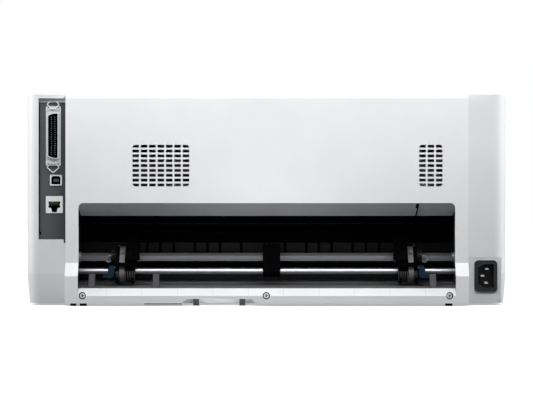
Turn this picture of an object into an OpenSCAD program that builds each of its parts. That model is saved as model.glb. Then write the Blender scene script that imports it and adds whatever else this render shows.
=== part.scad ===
// Dot matrix printer with a flat paper bed, seen in the frame: front -Y, rear +Y, up +Z.
// The origin is under the middle of the case, on the surface that the feet stand on.

/* [Case] */
// Width over both side panels
case_w = 479; // [440:1:540]
// Depth of the case without the front table and the cover's bulge
case_d = 305; // [290:1:340]
// Distance from the origin to the rear face of the side panels
rear_y = 165; // [160:1:172]
// Height of the side panels
case_h = 210; // [205:1:225]
// Height of the seam between the lower and the upper case
seam_z = 31.3; // [28:0.1:36]
// Underside of the lower case
base_z = 2.2; // [2:0.1:5]
// How much each side of the lower case leans in towards its bottom
base_taper = 3; // [0:0.5:6]
// Wall of the plastic case parts
wall = 2.5; // [1.8:0.1:3]
// Radius of the upright rear corners
corner_r = 12; // [6:1:18]
// Distance from the origin to where the flat top turns down to the front
top_break_y = 10; // [0:1:30]
// Height of the front edge of the slope
brow_z = 119.3; // [115:1:125]
// How far the brow stands behind the front face
brow_back = 22; // [18:1:28]
// Height of the front face under the brow
chin_z = 100; // [97:1:104]

/* [Rear cover] */
// Width of each side tower beside the rear cover
tower_w = 39.9; // [38:0.1:44]
// Sideways offset of the rear cover and of the printer cover
cover_x = -0.4; // [-3:0.1:3]
// How far the rear cover's top stands over the side panels
cover_rise = 0.5; // [0.5:0.5:2]
// Underside of the rear cover
cover_z = 2.9; // [2.5:0.1:4]
// How far the rear cover stands out behind the side panels
cover_proud = 12.5; // [10:0.5:16]
// How far its foot stands out behind its face
foot_proud = 7.5; // [5:0.5:10]
// Height where the side columns start to slope out
column_z = 42.6; // [38:0.1:48]
// Height where the side columns stop sloping out
column_foot_z = 29.7; // [26:0.1:34]
// Width of each column beside the paper opening
column_w = 12.9; // [11:0.1:18]
// Sideways offset of the paper opening
mouth_x = -0.3; // [-2:0.1:2]
// Bottom of the paper opening
mouth_z0 = 17.4; // [15:0.1:20]
// Top of the paper opening
mouth_z1 = 102; // [98:1:108]
// Radius of the paper opening's upper corners
mouth_r = 5; // [2:0.5:8]
// Height of the edge under the bar's slope
bar_edge_z = 10.4; // [8:0.1:12]
// Distance of the outer cover screws from the rear cover's edges
screw_in = 17.7; // [14:0.1:22]
// Height of the cover screws
screw_z = 10.3; // [9:0.1:11]
// Width of one ventilation slot
slot_w = 6.5; // [4:0.1:7]
// Height of one ventilation slot
slot_h = 2.9; // [2:0.1:3.5]
// Sideways pitch of the slots
slot_px = 8.3; // [7.6:0.1:9]
// Upright pitch of the slots
slot_pz = 4.8; // [4.2:0.1:5.2]
// Rows of slots
slot_rows = 9; // [5:1:10]
// Columns of the wide grille
wide_columns = 7; // [4:1:8]
// Columns of the narrow grille
narrow_columns = 3; // [2:1:4]
// Distance of the wide grille's middle from the rear cover's edge
wide_in = 94.5; // [84:0.5:110]
// Distance of the narrow grille's middle from the rear cover's other edge
narrow_in = 37.1; // [30:0.1:50]
// Middle height of both grilles
grille_z = 139.1; // [130:0.1:150]

/* [Printer cover] */
// Distance from the origin to the cover's hinge
hinge_y = 110; // [104:1:112]
// Hinge pin diameter
hinge_d = 5; // [4:0.5:6]
// Width of the printer cover beside its smoked window
window_in = 49.75; // [35:0.25:70]
// Length of the smoked window down the slope
window_l = 104; // [80:2:112]

/* [Front] */
// How far the paper table is set in from each side of the case
table_in = 47.5; // [46:0.5:70]
// How far the table stands out in front of the case
table_out = 45; // [35:1:50]
// Height of the paper path
path_z = 79; // [77:0.5:81]
// Thickness of the table
table_t = 5; // [4:0.5:6]
// Width of the control panel
panel_w = 30; // [24:1:31]
// Length of the control panel
panel_l = 116; // [100:2:130]
// Length of a panel button along the slope
button_l = 12; // [8:1:14]
// Width of a panel button
button_w = 18; // [12:1:22]
// Travel of a panel button
button_travel = 1; // [0.5:0.1:1.2]

/* [Mechanism] */
// Distance of each side frame's inner face from the side of the case
frame_in = 47; // [46:0.5:49]
// Thickness of the sheet steel frames
sheet = 2; // [1.5:0.1:2.2]
// Diameter of the carriage shaft
carriage_shaft_d = 10; // [8:0.5:12]
// Distance from the origin to the carriage shaft
carriage_shaft_y = 30; // [26:1:32]
// Height of the carriage shaft
carriage_shaft_z = 120; // [118:1:124]
// Length of the carriage along the shaft
carriage_l = 70; // [56:1:80]
// Radius of the carriage belt pulleys
pulley_r = 8; // [6:0.5:10]
// Distance of each belt pulley from the side frame
pulley_in = 30.5; // [28:0.5:34]
// Diameter of the feed roller sleeves
roller_d = 16; // [12:0.5:17]
// Diameter of the feed roller shafts
roller_shaft_d = 8; // [6:0.5:9]
// Length of one rubber sleeve
sleeve_l = 30; // [20:1:40]
// Diameter of a stepping motor
motor_d = 42; // [36:1:44]
// Width of the feed gears
gear_w = 6; // [4:0.5:7]

/* [Tractors] */
// Distance from the origin to the square drive shaft
drive_y = 125; // [124:0.5:126]
// Height of the square drive shaft
drive_z = 47; // [46:0.5:48]
// Width across the flats of the square drive shaft
drive_w = 6; // [5:0.5:6.5]
// Turn of the square drive shaft at rest
drive_turn = 62; // [0:1:90]
// Distance from the origin to the round guide rod
rod_y = 135; // [134.5:0.5:136]
// Height of the round guide rod
rod_z = 33.1; // [33:0.1:35]
// Diameter of the round guide rod
rod_d = 6; // [5:0.5:7]
// Distance of each tractor's inner face from the middle
tractor_x = 127.7; // [100:0.1:135]
// Width of a tractor between its outer faces
tractor_w = 24.7; // [22:0.1:28]
// Radius of the pin belt's outside
belt_r = 10.7; // [10:0.1:12]
// Width of the pin belt
belt_w = 5.4; // [4:0.1:7]
// Thickness of the pin belt
belt_t = 1.2; // [0.8:0.1:1.5]
// Pitch of the belt's pins, as continuous paper has its holes
pin_pitch = 12.7; // [12.5:0.1:12.9]
// Width of the middle paper support
support_w = 17.6; // [12:0.1:24]
// Sideways place of the middle paper support
support_x = -5.1; // [-20:0.1:20]

/* [Connectors] */
// Distance of the connector window's outer edge from the side of the case
window_side = 12.1; // [10.5:0.1:13]
// Height of the connector window
window_h = 140.7; // [136:0.1:146]
// Distance of the connector window's top from the top of the case
window_down = 3.6; // [3:0.1:5]
// How far the connector plate lies inside the rear face
plate_in = 7; // [5:0.5:10]
// Distance of the parallel connector's middle from the top of the case
parallel_down = 40.9; // [39:0.1:43]
// Distance of the square data connector's middle from the top of the case
usb_down = 85.2; // [84:0.1:90]
// Distance of the network connector's middle from the top of the case
lan_down = 109.6; // [106:0.1:115]
// Distance of the mains inlet's middle from the side of the case
inlet_side = 20.9; // [20:0.1:21.5]
// Middle height of the mains inlet
inlet_z = 29.2; // [28:0.1:31]

/* [Hidden] */
$fn = 48;
run = 0.05;          // radial clearance of a turning or sliding fit
gap = 0.5;           // clearance beside pieces that move past each other
tooth = 1.5;         // pitch diameter of a feed gear for each of its teeth
roller_teeth = 20;   // on each feed roller
link_teeth = 32;     // between the two rollers
idler_teeth = 44;    // between the rear roller and the tractor shaft
tractor_teeth = 16;
pinion_teeth = 12;   // on the feed motor
cover_w = case_w - 2 * tower_w;
cover_top = case_h + cover_rise;
mouth_w = cover_w - 2 * column_w;
frame_x = case_w / 2 - frame_in;
pulley_x = frame_x - pulley_in;
window_x1 = case_w / 2 - window_side;
window_z1 = case_h - window_down;
window_z0 = window_z1 - window_h;
parallel_z = case_h - parallel_down;
usb_z = case_h - usb_down;
lan_z = case_h - lan_down;
inlet_x = -case_w / 2 + inlet_side;
table_w = case_w - 2 * table_in;
window_w = cover_w - 2 * window_in;
cover_x0 = cover_x - cover_w / 2;
cover_x1 = cover_x + cover_w / 2;
screw_xs = [cover_x1 - screw_in + 0.6, cover_x + 0.6, cover_x0 + screw_in + 1.2];
wide_x = cover_x1 - wide_in;
narrow_x = cover_x0 + narrow_in;
parallel_x = cover_x1 + 14;
usb_x = cover_x1 + 11.5;
lan_x = cover_x1 + 13;
side_x = case_w / 2;
front_y = rear_y - case_d;
front_part = -front_y / 140;  // how much the mechanism's front follows the depth of the case
slope_y = front_y + brow_back;
slope_a = atan2(case_h - brow_z, top_break_y - slope_y);
slope_len = norm([case_h - brow_z, top_break_y - slope_y]);
face_y = rear_y + cover_proud;
foot_y = face_y + foot_proud;
mouth_x0 = mouth_x - mouth_w / 2;
mouth_x1 = mouth_x + mouth_w / 2;
hinge_z = cover_top - 5.5;
hinge_r = 4;
frame_out = frame_x + sheet;
roller_z = path_z - roller_d / 2;
roller_gear_r = roller_teeth * tooth / 2;
link_r = link_teeth * tooth / 2;
idler_r = idler_teeth * tooth / 2;
tractor_gear_r = tractor_teeth * tooth / 2;
pinion_r = pinion_teeth * tooth / 2;
idler_up = 14;       // rise of the gear train towards the rear roller, in degrees
idler_y = drive_y - (idler_r + tractor_gear_r) * cos(idler_up);
idler_z = drive_z + (idler_r + tractor_gear_r) * sin(idler_up);
rear_reach = idler_r + roller_gear_r;
rear_roller_y = idler_y - sqrt(rear_reach * rear_reach - pow(roller_z - idler_z, 2));
link_y = rear_roller_y - roller_gear_r - link_r;
front_roller_y = link_y - link_r - roller_gear_r;
pinion_up = 60;
pinion_y = link_y + (link_r + pinion_r) * cos(pinion_up);
pinion_z = roller_z + (link_r + pinion_r) * sin(pinion_up);
gear_x = -frame_out - 1 - gear_w;
belt_y = carriage_shaft_y + 23;
tractor_a = atan2(drive_z - rod_z, drive_y - rod_y);
board_x = cover_x1 + 3.2;
board_t = 1.2;
sleeve_xs = [for (i = [-1.5:1.5]) i * (2 * frame_x - 65) / 4];
slot_floor_z = path_z - table_t - 3;
frame_foot_z = 10;
lug_w = wall + 31;
switch_x = side_x - 25.5;
switch_z = 62;
panel_x = (cover_x1 + side_x) / 2 + 0.6;
button_pitch = 22;
cheek_x0 = mouth_x0 - wall - 2;
cheek_x1 = mouth_x1 + wall + 2;
screw_seat = foot_y - 5.5;
guide_slot_y = front_y - table_out / 2;
guide_x = table_w / 2 - 54;
ribbon_knob_x = frame_x - 72.5;
ribbon_knob_y = -66 * front_part;
rail_y = -52 * front_part;
ledge_slots = [22.7, 44.7, 57.5, 70.7, 92.4, 106.3, 119.8];
belt_x0 = tractor_x + 15.4;
belt_x1 = belt_x0 + belt_w;
tractor_x1 = tractor_x + tractor_w;
flap_w = 14.5;
flap_pin_z = belt_r + 3;
flap_y0 = -28;
flap_y1 = 6;
lug_ys = [-14, -2];
lug_mid = (lug_ys[0] + lug_ys[1]) / 2;
ear_z = 27;          // the bails' pivots, from the parallel connector's middle

// Turns a drawing in (Y, Z) into a bar along X, from x0 to x1
module along_x(x0, x1) {
  translate([x0, 0, 0]) rotate([90, 0, 90]) linear_extrude(x1 - x0) children();
}

// Turns a drawing in (X, Z) into a bar along Y, from y0 to y1
module along_y(y0, y1) {
  translate([0, y1, 0]) rotate([90, 0, 0]) linear_extrude(y1 - y0) children();
}

// A round bar along X
module rod_x(x0, x1, y, z, d) {
  translate([x0, y, z]) rotate([0, 90, 0]) cylinder(d = d, h = x1 - x0);
}

// A round bar along Y
module rod_y(y0, y1, x, z, d) {
  translate([x, y1, z]) rotate([90, 0, 0]) cylinder(d = d, h = y1 - y0);
}

// A block between two corners
module block(a, b) {
  translate(a) cube([b[0] - a[0], b[1] - a[1], b[2] - a[2]]);
}

// A rectangle between two corners, its corners rounded
module soft_rect(x0, y0, x1, y1, r) {
  translate([x0 + r, y0]) square([x1 - x0 - 2 * r, y1 - y0]);
  translate([x0, y0 + r]) square([x1 - x0, y1 - y0 - 2 * r]);
  for (x = [x0 + r, x1 - r], y = [y0 + r, y1 - r]) translate([x, y]) circle(r);
}

// The side outline of the upper case, moved inwards by t
module case_side(t) {
  m = t * tan(slope_a / 2);
  b = t * tan((90 - slope_a) / 2);
  polygon([[rear_y - t, seam_z - 1], [rear_y - t, case_h - t], [top_break_y + m, case_h - t],
    [slope_y + b, brow_z - t / 2 + 0.1], [front_y + t, chin_z - t / 2], [front_y + t, seam_z - 1]]);
}

// The case outline seen from above, its rear corners round
module case_plan(t) {
  x = side_x - t;
  r = corner_r - t / 2;
  y = rear_y - t;
  translate([-x, front_y + t]) square([2 * x, y - front_y - t - r]);
  translate([-x + r, y - r - 1]) square([2 * (x - r), r + 1]);
  for (s = [-1, 1]) translate([s * (x - r), y - r]) circle(r);
}

// The body of the upper case without its cut-outs, moved inwards by t
module case_body(t) {
  intersection() {
    along_x(-side_x, side_x) case_side(t);
    translate([0, 0, seam_z - 1]) linear_extrude(case_h) case_plan(t);
  }
}

module upper_case() {
  bay0 = cover_x0 - gap;
  bay1 = cover_x1 + gap;
  table_gap = table_w / 2 + 2;
  color("gainsboro") {
    difference() {
      union() {
        difference() {
          case_body(0);
          case_body(wall);
          block([-side_x - 1, front_y - 1, seam_z - 2], [side_x + 1, rear_y + 1, seam_z]);
        }
        // walls beside the bay
        intersection() {
          case_body(0.1);
          for (x = [bay0 - wall, bay1]) block([x, slope_y, case_h - 60], [x + wall, rear_y, case_h]);
        }
      }
      // the bay of the printer cover and of the rear cover
      block([bay0, slope_y, brow_z - 13], [bay1, rear_y + 1, case_h + 1]);
      block([bay0, hinge_y, seam_z - 1], [bay1, rear_y + 1, case_h + 1]);
      // the paper slot in the front
      block([-table_gap, front_y - 1, slot_floor_z], [table_gap, front_y + wall + 1, chin_z - 3.5]);
      // the connector window
      block([bay1 - 1, rear_y - wall - 1, window_z0], [window_x1, rear_y + 1, window_z1]);
      // room for the connector plate
      block([bay1 - 1, rear_y - plate_in - 1.5, window_z0 - 4], [bay1 + wall + 0.2, rear_y + 1, case_h - wall]);
      // room for the inlet's lug
      block([bay0 - lug_w - 0.4, rear_y - wall - 1, seam_z - 1], [bay0 + 1, rear_y + 1, inlet_z + 18.3]);
      // the control panel's bed, and the holes of its buttons and of the switch
      panel_place()
        block([-panel_w / 2 - 0.2, -panel_l / 2 - 0.2, -1.5], [panel_w / 2 + 0.2, panel_l / 2 + 0.2, 3]);
      for (i = [0:3]) button_place(i)
        block([-button_w / 2 - 0.4, -button_l / 2 - 0.4, -4], [button_w / 2 + 0.4, button_l / 2 + 0.4, 3]);
      block([switch_x - 8.3, front_y - 1, switch_z - 13], [switch_x + 8.3, front_y + wall + 1, switch_z + 13]);
    }
    // the strip over the connector plate
    block([bay1, rear_y - plate_in + 0.1, window_z1 - 3.8], [window_x1 + 1, rear_y - plate_in + 1.6, case_h - wall + 0.1]);
    // cheeks that carry the power switch
    for (x = [switch_x - 10.5, switch_x + 8.5]) difference() {
      block([x, front_y + wall - 0.5, switch_z - 6], [x + 2, front_y + 11, switch_z + 6]);
      rod_x(x - 1, x + 3, front_y + 6, switch_z, 3 + 2 * run);
    }
    // pins that carry the printer cover
    rod_x(bay0 - 1, bay0 + 7, hinge_y, hinge_z, hinge_d);
    rod_x(bay1 - 7, bay1 + 1, hinge_y, hinge_z, hinge_d);
  }
}

// Moves a drawing onto the slope above the right-hand front, its top in the plane Z = 0
module panel_place() {
  translate([panel_x, (top_break_y + slope_y) / 2, (case_h + brow_z) / 2])
    rotate([slope_a, 0, 0]) children();
}

module button_place(i) {
  panel_place() translate([0, (i - 2) * button_pitch, 0]) children();
}

module control_panel() {
  color("#4a4d52") panel_place() difference() {
    block([-panel_w / 2, -panel_l / 2, -1.5], [panel_w / 2, panel_l / 2, 0.3]);
    for (i = [0:3]) translate([0, (i - 2) * button_pitch, 0])
      block([-button_w / 2 - 0.4, -button_l / 2 - 0.4, -2], [button_w / 2 + 0.4, button_l / 2 + 0.4, 1]);
    for (i = [0:3]) translate([0, (i - 2) * button_pitch + 11, -0.3]) cylinder(d = 3, h = 1);
    translate([0, 2 * button_pitch, -0.3]) cylinder(d = 4, h = 1);
  }
}

module panel_button(i) {
  color("#c9ccd1") button_place(i) {
    translate([0, 0, -3.6]) linear_extrude(6.4)
      soft_rect(-button_w / 2, -button_l / 2, button_w / 2, button_l / 2, 2);
    block([-button_w / 2 - 2, -button_l / 2 - 2, -5.6], [button_w / 2 + 2, button_l / 2 + 2, -3.6]);
  }
}
module pause_button() { panel_button(0); }
module feed_button() { panel_button(1); }
module eject_button() { panel_button(2); }
module mode_button() { panel_button(3); }

module power_switch() {
  color("#2b2b2d") {
    rod_x(switch_x - 7.5, switch_x + 7.5, front_y + 6, switch_z, 6);
    rod_x(switch_x - 10, switch_x + 10, front_y + 6, switch_z, 3);
    along_x(switch_x - 7.5, switch_x + 7.5)
      polygon([[front_y + 6, switch_z - 10], [front_y - 2.5, switch_z - 11], [front_y - 1, switch_z],
        [front_y + 0.5, switch_z + 11], [front_y + 6, switch_z + 10]]);
  }
}

// The floor under the paper path, seen along X
module paper_floor() {
  polygon([[face_y - wall - 0.5, mouth_z0], [drive_y - 7, mouth_z0 + 1.2], [95, mouth_z0 + 5], [95, mouth_z0 + 3],
    [drive_y - 7, mouth_z0 - 0.8], [face_y - wall - 0.5, mouth_z0 - 2]]);
}

module lower_case() {
  bay0 = cover_x0 - gap;
  bay1 = cover_x1 + gap;
  low_x = side_x - base_taper;
  floor_z = base_z + wall;
  color("gainsboro") {
    difference() {
      union() {
        difference() {
          intersection() {
            along_y(front_y, rear_y)
              polygon([[-low_x, base_z], [low_x, base_z], [side_x, seam_z - 0.1], [-side_x, seam_z - 0.1]]);
            translate([0, 0, base_z]) linear_extrude(seam_z) case_plan(0);
          }
          intersection() {
            along_y(front_y, rear_y)
              polygon([[-low_x + wall, floor_z], [low_x - wall, floor_z],
                [side_x - wall, seam_z + 1], [-side_x + wall, seam_z + 1]]);
            translate([0, 0, base_z]) linear_extrude(seam_z + 10) case_plan(wall);
          }
          // the rear wall is open behind the paper opening and the rear cover
          block([bay0, rear_y - wall - 1, mouth_z0 - 5], [bay1, rear_y + 1, seam_z + 1]);
          block([bay0, rear_y - wall - 0.1, 0], [bay1, rear_y + 1, floor_z]);
          for (x = [bay0, bay1 - 4]) block([x, rear_y - wall - 1, floor_z - 0.1], [x + 4, rear_y + 1, seam_z]);
        }
        // the lug round the mains inlet
        block([bay0 - lug_w, rear_y - wall, floor_z], [bay0, rear_y, inlet_z + 18]);
        // the floor that leads the paper in, wider between the side frames, with its posts
        along_x(mouth_x0 + 1, mouth_x1 - 1) paper_floor();
        intersection() {
          along_x(-frame_x + 0.5, frame_x - 0.5) paper_floor();
          block([-side_x, 94, 0], [side_x, 147, mouth_z1]);
        }
        for (x = [mouth_x1 - 12.1, mouth_x1 - 76.1, mouth_x0 + 21]) along_x(x - 3, x + 3)
          polygon([[170, mouth_z0 - 1], [162, mouth_z0 + 13.6], [157, mouth_z0 + 13.6], [155, mouth_z0]]);
        for (x = [bay0 + 18, -90, 90, bay1 - 14]) block([x - 1.5, 100, floor_z - 0.1], [x + 1.5, rear_y - wall, mouth_z0 - 1]);
        // bosses for the cover screws
        for (x = screw_xs) rod_y(rear_y - wall - 0.5, face_y - 0.1, x, screw_z, 8);
        // pillars under the side frames
        for (x = [-frame_out + 2, frame_out - 2], y = [-50 * front_part, 60])
          translate([x, y, floor_z - 0.1]) cylinder(d = 9, h = frame_foot_z - floor_z + 0.1);
      }
      for (x = screw_xs) rod_y(rear_y - 6, foot_y, x, screw_z, 3);
      translate([inlet_x, 0, inlet_z]) along_y(rear_y - 10, rear_y + 1) square([19.4, 27.8], center = true);
    }
  }
}
module rubber_feet() {
  color("#2a2a2a") {
    // the feet that show under the rear cover: two under the screw bosses, one beside the opening's cheek
    for (x = [screw_xs[0], screw_xs[2]]) block([x - 3.1, rear_y + 0.5, 0], [x + 3.1, face_y - 0.5, screw_z - 4]);
    block([cheek_x1 - 1.6, rear_y + 2, 0], [cheek_x1 + 3.6, face_y - 1, cover_z - 0.1]);
    block([cheek_x1, rear_y + 2, 0], [cheek_x1 + 3.6, face_y - 1, cover_z + 6]);
    // the flat pad under the bar
    block([mouth_x1 - 103, foot_y - wall, cover_z - 1], [mouth_x1 - 65.7, foot_y - 0.2, cover_z]);
    for (x = [-side_x + 39.5, side_x - 39.5]) translate([x, front_y + 28, 0]) cylinder(d = 15, h = base_z);
    // the two legs in the notch of the rear cover
    for (x = [70, 24]) block([x - 2.9, rear_y, 0], [x + 2.9, rear_y + 6, 9]);
  }
}

module slot_grid(x, columns) {
  w = slot_px * (columns - 1) + slot_w;
  h = slot_pz * (slot_rows - 1) + slot_h;
  intersection() {
    for (i = [0:columns - 1], j = [0:slot_rows - 1])
      translate([x - w / 2 + i * slot_px, grille_z - h / 2 + j * slot_pz]) square([slot_w, slot_h]);
    soft_rect(x - w / 2, grille_z - h / 2, x + w / 2, grille_z + h / 2, 3);
  }
}

module rear_cover() {
  t = wall;
  r = 5;
  f = face_y;
  top_y = hinge_y + 6.5;
  lip_y = 140;
  notch = [[83.5, 0], [83.5, cover_z], [78.6, cover_z + 4.5], [14.4, cover_z + 4.5], [10.5, cover_z], [10.5, 0]];
  side_in = rear_y - 2;
  color("white") difference() {
    union() {
      difference() {
        // the face, with the stepped foot of the side columns and the round top edge
        along_x(cover_x0, cover_x1) difference() {
          union() {
            polygon([[side_in, cover_z], [foot_y, cover_z], [foot_y, column_foot_z], [f, column_z],
              [f, cover_top - r], [f - r, cover_top], [top_y, cover_top], [top_y, cover_top - 12], [side_in, cover_top - 12]]);
            translate([f - r, cover_top - r]) circle(r);
          }
        }
        // hollow inside
        along_x(cover_x0 + t, cover_x1 - t) union() {
          polygon([[side_in - 1, cover_z - 1], [foot_y - t, cover_z - 1], [foot_y - t, column_foot_z - 1], [f - t, column_z - 1],
            [f - t, cover_top - r], [f - r, cover_top - t], [top_y - 1, cover_top - t], [top_y - 1, cover_top - 13],
            [side_in - 1, cover_top - 13]]);
          translate([f - r, cover_top - r]) circle(r - t);
        }
        // the paper opening
        along_y(side_in - 1, foot_y + 1) {
          translate([mouth_x0, 0]) square([mouth_w, mouth_z1 - mouth_r]);
          soft_rect(mouth_x0, mouth_z1 - 3 * mouth_r, mouth_x1, mouth_z1, mouth_r);
        }
      }
      // the bar under the opening
      along_x(mouth_x0 - 0.1, mouth_x1 + 0.1)
        polygon([[foot_y, cover_z], [foot_y, bar_edge_z], [f, mouth_z0], [f - t, mouth_z0], [f - t, mouth_z0 - 1.5],
          [foot_y - t, bar_edge_z - 1], [foot_y - t, cover_z]]);
      // bosses round the screws, within the bar's outline
      intersection() {
        for (x = screw_xs) rod_y(f, foot_y, x, screw_z, 10.4);
        along_x(cover_x0, cover_x1)
          polygon([[foot_y, cover_z], [foot_y, bar_edge_z], [f, mouth_z0], [f, cover_z]]);
      }
      // the lip that leads the paper under the top edge of the opening
      along_x(mouth_x0 - 1, mouth_x1 + 1)
        polygon([[f - 0.5, mouth_z1 - 0.1], [lip_y, mouth_z1 - 13], [lip_y, mouth_z1 - 10.5], [f - 0.5, mouth_z1 + t]]);
      // cheeks at both ends of the opening
      for (x = [cheek_x0, cheek_x1 - t]) along_x(x, x + t)
        polygon([[rear_y + 0.1, cover_z], [foot_y - 0.5, cover_z], [foot_y - 0.5, bar_edge_z], [f - 0.5, column_z],
          [f - 0.5, mouth_z1 + t], [side_in, mouth_z1 - 8], [side_in, mouth_z0 - 4.9], [rear_y + 0.1, mouth_z0 - 4.9]]);
    }
    along_y(f - t - 1, foot_y + 1) {
      slot_grid(wide_x, wide_columns);
      slot_grid(narrow_x, narrow_columns);
    }
    along_y(side_in - 2, foot_y + 1) polygon(notch);
    for (x = screw_xs) {
      rod_y(f - 10, foot_y + 1, x, screw_z, 3.4);
      rod_y(screw_seat, foot_y + 1, x, screw_z, 7.3);
      rod_y(f - 20, f, x, screw_z, 8.6);
    }
  }
}

module cover_screws() {
  color("#b9bcc0") for (x = screw_xs) difference() {
    union() {
      rod_y(screw_seat, screw_seat + 1.8, x, screw_z, 6);
      rod_y(rear_y, screw_seat + 0.1, x, screw_z, 2.9);
    }
    for (a = [0, 90]) translate([x, screw_seat + 1.8, screw_z]) rotate([0, a + 45, 0])
      cube([3.6, 1.4, 0.8], center = true);
  }
}

// A band that follows the printer cover's outer line, from depth a to depth b
module cover_band(a, b) {
  top = case_h - 0.5;
  y1 = hinge_y + hinge_r;
  y0 = slope_y + 0.5;
  function front(t) = brow_z - 0.5 + 0.5 * tan(slope_a) - t / cos(slope_a);
  function bend(t) = top_break_y + t * tan(slope_a / 2);
  polygon([[y1, top - a], [bend(a), top - a], [y0, front(a)], [y0, front(b)], [bend(b), top - b], [y1, top - b]]);
}

// Moves a drawing onto the slope of the printer cover
module window_place() {
  translate([cover_x, (top_break_y + slope_y) / 2, (case_h + brow_z) / 2 - 0.5])
    rotate([slope_a, 0, 0]) children();
}

module printer_cover() {
  x0 = cover_x0 + 0.2;
  x1 = cover_x1 - 0.2;
  color("whitesmoke") difference() {
    union() {
      along_x(x0, x1) cover_band(0, wall);
      for (x = [x0, x1 - wall]) along_x(x, x + wall) cover_band(1, 12);
      for (x = [x0, x1 - 9]) rod_x(x, x + 9, hinge_y, hinge_z, 2 * hinge_r);
      window_place() linear_extrude(7, center = true) difference() {
        square([window_w + 10, window_l + 10], center = true);
        square([window_w - 6, window_l - 6], center = true);
      }
    }
    window_place() block([-window_w / 2, -window_l / 2, -2], [window_w / 2, window_l / 2, 5]);
    window_place() block([-window_w / 2 - 6, -window_l / 2 - 6, 0], [window_w / 2 + 6, window_l / 2 + 6, 5]);
    rod_x(x0 - 1, x1 + 1, hinge_y, hinge_z, hinge_d + 2 * run);
  }
}

module cover_window() {
  color("dimgray", 0.6) window_place() translate([0, 0, -2]) linear_extrude(2)
    soft_rect(-window_w / 2 + 0.2, -window_l / 2 + 0.2, window_w / 2 - 0.2, window_l / 2 - 0.2, 1);
}

module front_table() {
  z1 = path_z - 0.3;
  color("whitesmoke") difference() {
    union() {
      along_x(-table_w / 2, table_w / 2) {
        polygon([[front_y - table_out + 2, z1 - table_t], [front_y + wall, z1 - table_t], [front_y + wall, z1],
          [front_y - table_out + 2, z1], [front_y - table_out, z1 - 2], [front_y - table_out, z1 - table_t + 2]]);
        translate([front_y - table_out + 2, z1 - 2]) circle(2);
      }
      // hooks over the edge of the paper slot
      for (x = [42 - table_w / 2, table_w / 2 - 42]) {
        block([x - 10, front_y - 4, slot_floor_z], [x + 10, front_y + wall + 0.2, z1 - table_t + 0.1]);
        block([x - 10, front_y + wall + 0.1, slot_floor_z - 10], [x + 10, front_y + wall + 2, z1]);
      }
    }
    // the edge guides' slots
    for (s = [-1, 1]) translate([s * (guide_x - 38), guide_slot_y, 0]) block([-66, -2, 0], [66, 2, path_z + 1]);
  }
}

// A paper edge guide; side is -1 or 1
module edge_guide(side) {
  z1 = path_z + 0.1;
  under = path_z - 0.3 - table_t - 0.4;
  color("#dfe2e6") mirror([side < 0 ? 1 : 0, 0, 0]) translate([guide_x, guide_slot_y, 0]) {
    block([-10, -19, z1], [-7, 19, z1 + 12]);
    block([-10, -10, z1], [10, 10, z1 + 2]);
    block([-8, -1.6, under - 1], [8, 1.6, z1 + 0.1]);
    block([-10, -8, under - 2], [10, 8, under]);
  }
}
module left_edge_guide() { edge_guide(-1); }
module right_edge_guide() { edge_guide(1); }

// The outline of a side frame in (Y, Z), with its holes
module frame_side() {
  difference() {
    polygon([[-66 * front_part, frame_foot_z], [148, frame_foot_z], [148, 62], [90, 100], [90, 148], [-30 * front_part, 148], [-66 * front_part, 118]]);
    translate([carriage_shaft_y, carriage_shaft_z]) circle(d = carriage_shaft_d);
    translate([rod_y, rod_z]) circle(d = rod_d);
    translate([drive_y, drive_z]) circle(d = drive_w * sqrt(2) + 2 + 2 * run);
    for (y = [front_roller_y, rear_roller_y]) translate([y, roller_z]) circle(d = roller_shaft_d + 2 * run);
  }
}

module right_side_frame() {
  color("silver") {
    along_x(frame_x, frame_out) frame_side();
    // posts that carry the main board
    for (p = [[46, 68], [120, 68], [46, 140]]) rod_x(frame_out - 0.1, board_x, p[0], p[1], 6);
  }
}

module left_side_frame() {
  color("silver") {
    along_x(-frame_out, -frame_x) frame_side();
    // studs that carry the two loose gears
    for (p = [[link_y, roller_z], [idler_y, idler_z]]) {
      rod_x(gear_x - 1.5, -frame_out + 0.1, p[0], p[1], 5);
      rod_x(-frame_out - 0.7, -frame_out + 0.1, p[0], p[1], 9);
    }
  }
}

module rear_frame_plate() {
  color("silver") difference() {
    union() {
      block([-frame_x, 62, 100], [frame_x, 64, 144]);
      for (x = [-frame_x, frame_x - sheet]) block([x, 62, 100], [x + sheet, 76, 144]);
      // the stud that the idler pulley turns on
      rod_y(belt_y - 5, 63, pulley_x, carriage_shaft_z, 4);
    }
    rod_y(60, 66, -pulley_x, carriage_shaft_z, 12);
    for (x = [-80, 0, 80]) block([x - 25, 60, 112], [x + 25, 66, 132]);
  }
}

module carriage_shaft() {
  color("#c9ced6") rod_x(-frame_out, frame_out, carriage_shaft_y, carriage_shaft_z, carriage_shaft_d);
}

module carriage_rail() {
  color("silver") difference() {
    along_x(-frame_x, frame_x)
      polygon([[rail_y, 104], [rail_y + 20, 104], [rail_y + 20, 106], [rail_y + sheet, 106],
        [rail_y + sheet, 118], [rail_y, 118]]);
    for (x = [-120, -40, 40, 120]) translate([x, rail_y + 6, 103]) cylinder(d = 6, h = 4);
  }
}

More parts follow.
